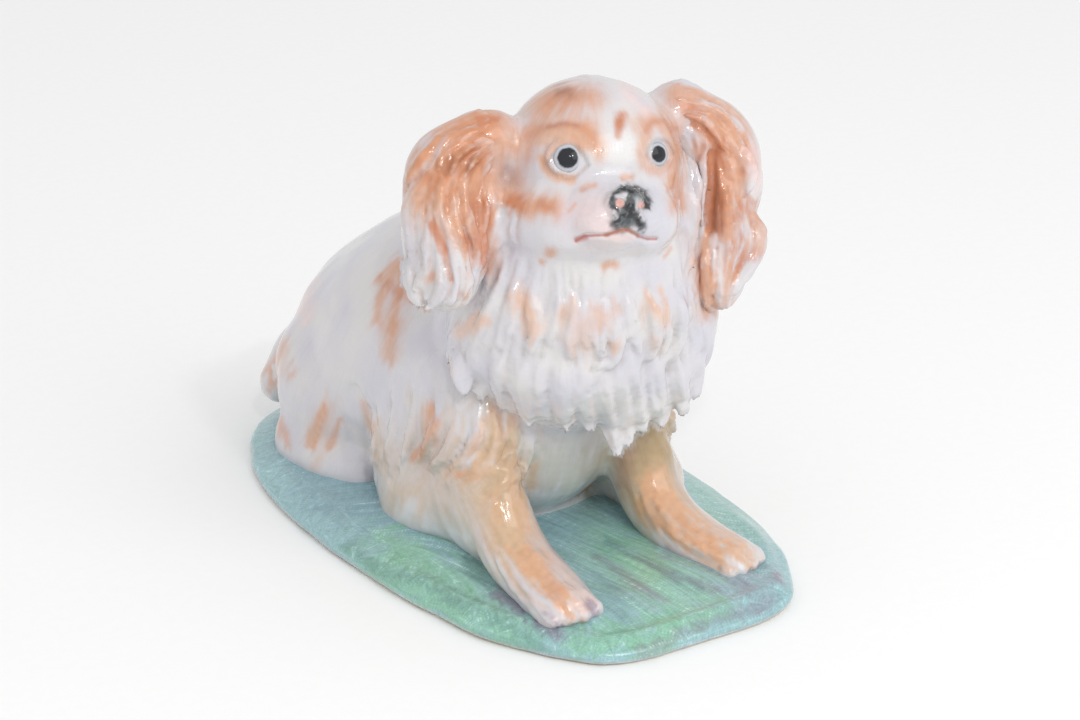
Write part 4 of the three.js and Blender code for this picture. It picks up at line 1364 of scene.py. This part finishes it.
# How much shade is painted into the hollows of the head's hair, and the rounds of smoothing that find them
HEAD_HOLLOW_SHADE, HEAD_SHADE_ROUNDS = 0.5, 10
EAR_POOL, EAR_POOL_ROUNDS, EAR_POOL_COVER = 0.7, 12, 1.5


def patched(places, patches, ragged=0.0):
    """How much of a patch's enamel each place takes."""
    noise = lattice_noise(places / patches.cell, patches.seed)
    return patches.strength * smoothstep(patches.low, patches.high, noise + ragged)


def enamel_body(clay):
    enamel = Enamelling(clay, "fawn")
    back = (1 - clay.sight) * smoothstep(*BACK_HEIGHT, clay.places[:, 2])
    enamel.lay("fawn", back * patched(clay.places, BACK_PATCHES, BACK_RAGGED * enamel.ragged))
    enamel.mirrored_stroke(BODY_MARKS)
    enamel.stroke(BODY_MARKS)
    enamel.store()


def enamel_head(clay):
    enamel = Enamelling(clay, "fawn", loose=HEAD_LOOSE)
    nape = (1 - clay.sight) * smoothstep(*NAPE_HEIGHT, clay.places[:, 2])
    enamel.lay("fawn", nape * patched(clay.places, NAPE_PATCHES))
    enamel.stroke(RIGHT_EAR_MARKS + LEFT_EAR_MARKS + FACE_MARKS + RUFF_MARKS)
    nose = clay.inside(NOSE_BOX) * clay.sight * smoothstep(*NOSE_COVER, enamel.cover)
    enamel.lay("slate", nose * patched(clay.places, NOSE_FLECKS))
    # painted shade: the head's hair is darkened in its hollows
    hollows = smoothstep(*HOLLOW_DEPTH, clay.hollowness(HEAD_SHADE_ROUNDS))
    enamel.lay("shade", HEAD_HOLLOW_SHADE * clay.hair * hollows)
    enamel.store()


def enamel_ear(clay, marks):
    enamel = Enamelling(clay, "fawn", bare=EAR_BARE)
    in_head = (np.array(HEAD.inverted()) @ np.c_[clay.places, np.ones(len(clay.places))].T).T[:, :3]
    unseen = 1 - clay.sight
    cloudy = EAR_THIN + EAR_CLOUDY * lattice_noise(in_head / EAR_PATCHES.cell, EAR_PATCHES.seed)
    enamel.lay("fawn", unseen * smoothstep(*EAR_HEIGHT, in_head[:, 2]) * cloudy)
    enamel.lay("deep fawn", unseen * patched(in_head, EAR_PATCHES))
    enamel.stroke(marks)
    hollows = smoothstep(*HOLLOW_DEPTH, clay.hollowness(EAR_POOL_ROUNDS))
    enamel.lay("deep fawn", EAR_POOL * hollows * np.clip(EAR_POOL_COVER * enamel.cover, 0, 1))
    enamel.store()


def enamel_base(clay):
    enamel = Enamelling(clay, "turquoise")
    enamel.lay("turquoise", np.ones(len(clay.places)))
    enamel.stroke(BASE_MARKS)
    enamel.lay("green", patched(clay.places, GROUND_PATCHES) * (1 - clay.sight))
    enamel.lay("pale mauve", RIM_MAUVE * smoothstep(*RIM_FOOT, clay.places[:, 2]))
    enamel.lay("biscuit", smoothstep(*UNDERSIDE_FACING, clay.normals[:, 2]))
    enamel.store()


enamel_body(body_clay)
enamel_head(head_clay)
enamel_ear(right_ear_clay, RIGHT_EAR_MARKS)
enamel_ear(left_ear_clay, LEFT_EAR_MARKS)
enamel_base(base_clay)

# Materials


def node(tree, kind, inputs=None, **settings):
    """Adds a node. Each input is given a value, or the socket that feeds it."""
    made = tree.nodes.new(f"ShaderNode{kind}")
    for name, value in settings.items():
        setattr(made, name, value)
    for name, value in (inputs or {}).items():
        if isinstance(value, bpy.types.NodeSocket):
            tree.links.new(value, made.inputs[name])
        else:
            made.inputs[name].default_value = value
    return made


def calculate(tree, operation, first, second=0.0):
    return node(tree, "Math", {0: first, 1: second}, operation=operation).outputs[0]


def mix(tree, share, first, second, blend="MIX"):
    made = node(tree, "Mix", {0: share, 6: first, 7: second}, data_type="RGBA", blend_type=blend)
    return made.outputs[2]


def shaded(tree, colour, tone):
    """A colour times a tone."""
    grey = node(tree, "CombineColor", {0: tone, 1: tone, 2: tone}).outputs[0]
    return mix(tree, 1.0, colour, grey, "MULTIPLY")


def spread(tree, value, low, high, to_low=0.0, to_high=1.0):
    made = node(tree, "MapRange", {0: value, 1: low, 2: high, 3: to_low, 4: to_high})
    return made.outputs[0]


STROKE_TAPS, STROKE_STEP, STROKE_RANGE = 7, 1.2, (0.39, 0.61)


def combed_strokes():
    """A group that draws noise out along the flow, as a brush does."""
    group = bpy.data.node_groups.new("combed strokes", "ShaderNodeTree")
    for name, kind in (("Place", "Vector"), ("Flow", "Vector"), ("Fineness", "Float")):
        group.interface.new_socket(name, in_out="INPUT", socket_type=f"NodeSocket{kind}")
    group.interface.new_socket("Strokes", in_out="OUTPUT", socket_type="NodeSocketFloat")
    given, result = group.nodes.new("NodeGroupInput"), group.nodes.new("NodeGroupOutput")
    place, flow, fineness = (given.outputs[name] for name in ("Place", "Flow", "Fineness"))
    fine = node(group, "VectorMath", {0: place, "Scale": fineness}, operation="SCALE").outputs[0]
    total = None
    for tap in range(STROKE_TAPS):
        reach = (tap - (STROKE_TAPS - 1) / 2) * STROKE_STEP
        step = {0: flow, 1: (reach, reach, reach), 2: fine}
        shifted = node(group, "VectorMath", step, operation="MULTIPLY_ADD").outputs[0]
        grain = node(group, "TexNoise", {"Vector": shifted, "Scale": 1.0, "Detail": 1.0}).outputs[0]
        total = grain if total is None else calculate(group, "ADD", total, grain)
    low, high = (share * STROKE_TAPS for share in STROKE_RANGE)
    group.links.new(spread(group, total, low, high), result.inputs["Strokes"])
    return group


STROKES = combed_strokes()


def strokes(tree, fineness):
    """Strokes of a brush along the piece's flow, so many to the metre."""
    made = tree.nodes.new("ShaderNodeGroup")
    made.node_tree = STROKES
    tree.links.new(node(tree, "TexCoord").outputs["Object"], made.inputs["Place"])
    tree.links.new(node(tree, "Attribute", attribute_name="flow").outputs["Vector"], made.inputs["Flow"])
    made.inputs["Fineness"].default_value = fineness
    return made.outputs["Strokes"]


def clouds(tree, fineness):
    """Slow noise all over a piece, so many clouds to the metre."""
    place = node(tree, "TexCoord").outputs["Object"]
    return node(tree, "TexNoise", {"Vector": place, "Scale": fineness, "Detail": CLOUD_DETAIL}).outputs[0]


def new_material(name):
    material = bpy.data.materials.new(name)
    material.use_nodes = True
    return material, material.node_tree, material.node_tree.nodes["Principled BSDF"]


# A glaze: strokes and clouds to the metre, roughness from clear to dull, relief in millimetres, and coat

Glaze = namedtuple("Glaze", "strokes clouds roughness relief coat")
PORCELAIN = Glaze((420.0, 900.0, 2200.0), 70.0, (0.1, 0.2), 0.08, 0.35)
GROUND = Glaze((450.0, 1300.0), 90.0, (0.12, 0.24), 0.12, 0.4)
EYE = Glaze((), 900.0, (0.06, 0.12), 0.02, 0.0)
CLOUD_DETAIL, CLOUD_RANGE = 2.0, (0.3, 0.7)
RELIEF_STRENGTH, COAT_ROUGHNESS = 0.5, 0.04


def glaze(tree, shader, kind, colour, cloud, height):
    """Links what varies over a glazed surface, and sets what doesn't on the shader."""
    tree.links.new(colour, shader.inputs["Base Color"])
    tree.links.new(spread(tree, cloud, *CLOUD_RANGE, *kind.roughness), shader.inputs["Roughness"])
    relief = {"Height": height, "Strength": RELIEF_STRENGTH, "Distance": kind.relief * MM}
    tree.links.new(node(tree, "Bump", relief).outputs[0], shader.inputs["Normal"])
    shader.inputs["Coat Weight"].default_value = kind.coat
    shader.inputs["Coat Roughness"].default_value = COAT_ROUGHNESS


WHITE_WARM, WHITE_COOL = (*linear(215, 212, 212), 1), (*linear(206, 204, 212), 1)
WHITE_RANGE, THICK_RANGE, THICK_SHARE = (0.35, 0.65), (0.0, 0.45), 0.12
ENAMEL_TONE, FINE_RELIEF = (0.9, 1.08), 0.5


def enamelled_porcelain():
    material, tree, shader = new_material("enamelled porcelain")
    paint = node(tree, "Attribute", attribute_name="paint")
    long, broad, fine = (strokes(tree, fineness) for fineness in PORCELAIN.strokes)
    cloud = clouds(tree, PORCELAIN.clouds)
    white = mix(tree, spread(tree, cloud, *WHITE_RANGE), WHITE_COOL, WHITE_WARM)
    thick = calculate(tree, "MULTIPLY", spread(tree, broad, *THICK_RANGE, 1.0, 0.0), THICK_SHARE)
    white = mix(tree, thick, white, WHITE_COOL, "MULTIPLY")
    cover = paint.outputs["Alpha"]
    edge = calculate(tree, "MULTIPLY", cover, calculate(tree, "SUBTRACT", 1.0, cover))
    bite = calculate(tree, "MULTIPLY", calculate(tree, "SUBTRACT", fine, 0.5), edge)
    bitten = node(tree, "Math", {0: bite, 1: 1.0, 2: cover}, operation="MULTIPLY_ADD", use_clamp=True)
    tone = spread(tree, long, 0.0, 1.0, *ENAMEL_TONE)
    colour = mix(tree, bitten.outputs[0], white, shaded(tree, paint.outputs["Color"], tone))
    height = calculate(tree, "ADD", calculate(tree, "MULTIPLY", fine, FINE_RELIEF), cloud)
    glaze(tree, shader, PORCELAIN, colour, cloud, height)
    return material


BROAD_TONE, FINE_TONE = (0.86, 1.14), (0.8, 1.2)
THIN_GLAZE, THIN_RANGE, THIN_SHARE = (*linear(215, 232, 232), 1), (0.45, 0.8), 0.45


def green_glaze():
    material, tree, shader = new_material("brushed green glaze")
    paint = node(tree, "Attribute", attribute_name="paint")
    broad, fine = (strokes(tree, fineness) for fineness in GROUND.strokes)
    broad_tone = spread(tree, broad, 0.0, 1.0, *BROAD_TONE)
    fine_tone = spread(tree, fine, 0.0, 1.0, *FINE_TONE)
    colour = shaded(tree, paint.outputs["Color"], calculate(tree, "MULTIPLY", broad_tone, fine_tone))
    thin = spread(tree, calculate(tree, "MULTIPLY", broad, fine), *THIN_RANGE)
    colour = mix(tree, calculate(tree, "MULTIPLY", thin, THIN_SHARE), colour, THIN_GLAZE)
    cloud = clouds(tree, GROUND.clouds)
    glaze(tree, shader, GROUND, colour, cloud, calculate(tree, "ADD", fine, cloud))
    return material


# The painted eyes, in millimetres: a pupil, and a ring round it that fades on either side

PUPIL = (0.022, 0.023, 0.028, 1)
IRIS_RING, EYE_WHITE = (*linear(160, 163, 170), 1), (*linear(188, 190, 198), 1)
PUPIL_RADIUS, PUPIL_FADE = {"right": 2.6, "left": 2.15}, (0.25, 0.2)
RING_TO_PUPIL, RING_HALF, RING_INNER, RING_OUTER = 1.42, 0.14, 0.1, 0.3
EYE_WOBBLE, EYE_SHINE = 0.6, 0.35


def painted_eye(name, pupil):
    material, tree, shader = new_material(f"painted {name} eye")
    place = node(tree, "TexCoord").outputs["Object"]
    apart = node(tree, "VectorMath", {0: place, 1: pupil * MM}, operation="DISTANCE").outputs["Value"]
    wobble = clouds(tree, EYE.clouds)
    stray = calculate(tree, "MULTIPLY", calculate(tree, "SUBTRACT", wobble, 0.5), EYE_WOBBLE * MM)
    apart = calculate(tree, "ADD", apart, stray)
    edge, ring = PUPIL_RADIUS[name], RING_TO_PUPIL * PUPIL_RADIUS[name]
    inner, outer = ring - RING_HALF, ring + RING_HALF
    iris = spread(tree, apart, (edge - PUPIL_FADE[0]) * MM, (edge + PUPIL_FADE[1]) * MM)
    ring_in = spread(tree, apart, (inner - RING_OUTER) * MM, (inner + RING_INNER) * MM)
    ring_out = spread(tree, apart, (outer - RING_INNER) * MM, (outer + RING_OUTER) * MM, 1.0, 0.0)
    colour = mix(tree, calculate(tree, "MULTIPLY", ring_in, ring_out), EYE_WHITE, IRIS_RING)
    colour = mix(tree, iris, PUPIL, colour)
    glaze(tree, shader, EYE, colour, wobble, wobble)
    shader.inputs["Specular IOR Level"].default_value = EYE_SHINE
    return material


porcelain = enamelled_porcelain()
for piece, material in (
    (body, porcelain),
    (head, porcelain),
    (right_ear, porcelain),
    (left_ear, porcelain),
    (base, green_glaze()),
    (right_eye, painted_eye("right", eyes["right"][0])),
    (left_eye, painted_eye("left", eyes["left"][0])),
):
    piece.data.materials.clear()
    piece.data.materials.append(material)

# Riding on the root, and hiding the model's parts that the pieces stand for

for piece, slot, nodes in (
    (body, "white_glaze", ["torso_right_half", "torso_left_half", "right_foreleg", "left_foreleg",
                           "right_hind_leg", "left_hind_leg", "tail"]),
    (head, "white_glaze", ["head_face_half", "head_back_half", "neck_ruff", "chest_bib"]),
    (right_ear, "fawn_glaze", ["right_ear"]),
    (left_ear, "fawn_glaze", ["left_ear"]),
    (base, "green_glaze", ["base_mound"]),
    (right_eye, "white_glaze", []),
    (left_eye, "white_glaze", []),
):
    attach(piece, "root")
    if nodes:
        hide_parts(*nodes)

# Stage: the floor in metres, lamps in millimetres and watts

FLOOR_SIZE, PAPER_GRAIN, PAPER_ROUGHNESS = 6, 300.0, 0.9
PAPER_DARK, PAPER_LIGHT = (0.93, 0.93, 0.93, 1), (0.96, 0.96, 0.96, 1)
TENT_COLOUR, TENT_STRENGTH = (1, 1, 1, 1), 0.8
LAMP_AIM = Vector((0, 0, 60))

deselect()
bpy.ops.mesh.primitive_plane_add(size=FLOOR_SIZE)
floor = bpy.context.object
floor.name = "floor"

paper, paper_tree, paper_shader = new_material("white paper")
paper_colour = mix(paper_tree, clouds(paper_tree, PAPER_GRAIN), PAPER_DARK, PAPER_LIGHT)
paper_tree.links.new(paper_colour, paper_shader.inputs["Base Color"])
paper_shader.inputs["Roughness"].default_value = PAPER_ROUGHNESS
floor.data.materials.append(paper)

world = bpy.data.worlds.new("tent")
world.use_nodes = True
world.node_tree.nodes["Background"].inputs["Color"].default_value = TENT_COLOUR
world.node_tree.nodes["Background"].inputs["Strength"].default_value = TENT_STRENGTH
bpy.context.scene.world = world
bpy.context.scene.view_settings.view_transform = "Standard"


def softbox(name, place, size, power):
    bpy.ops.object.light_add(type="AREA", location=Vector(place) * MM)
    lamp = bpy.context.object
    lamp.name = name
    lamp.data.size = size * MM
    lamp.data.energy = power
    lamp.rotation_euler = (LAMP_AIM - Vector(place)).to_track_quat("-Z", "Y").to_euler()


softbox("key", place=(250, -1200, 1000), size=1000, power=5.5)
softbox("left lamp", place=(-420, -900, 900), size=50, power=1.6)
softbox("right lamp", place=(-120, -1000, 900), size=50, power=1.6)
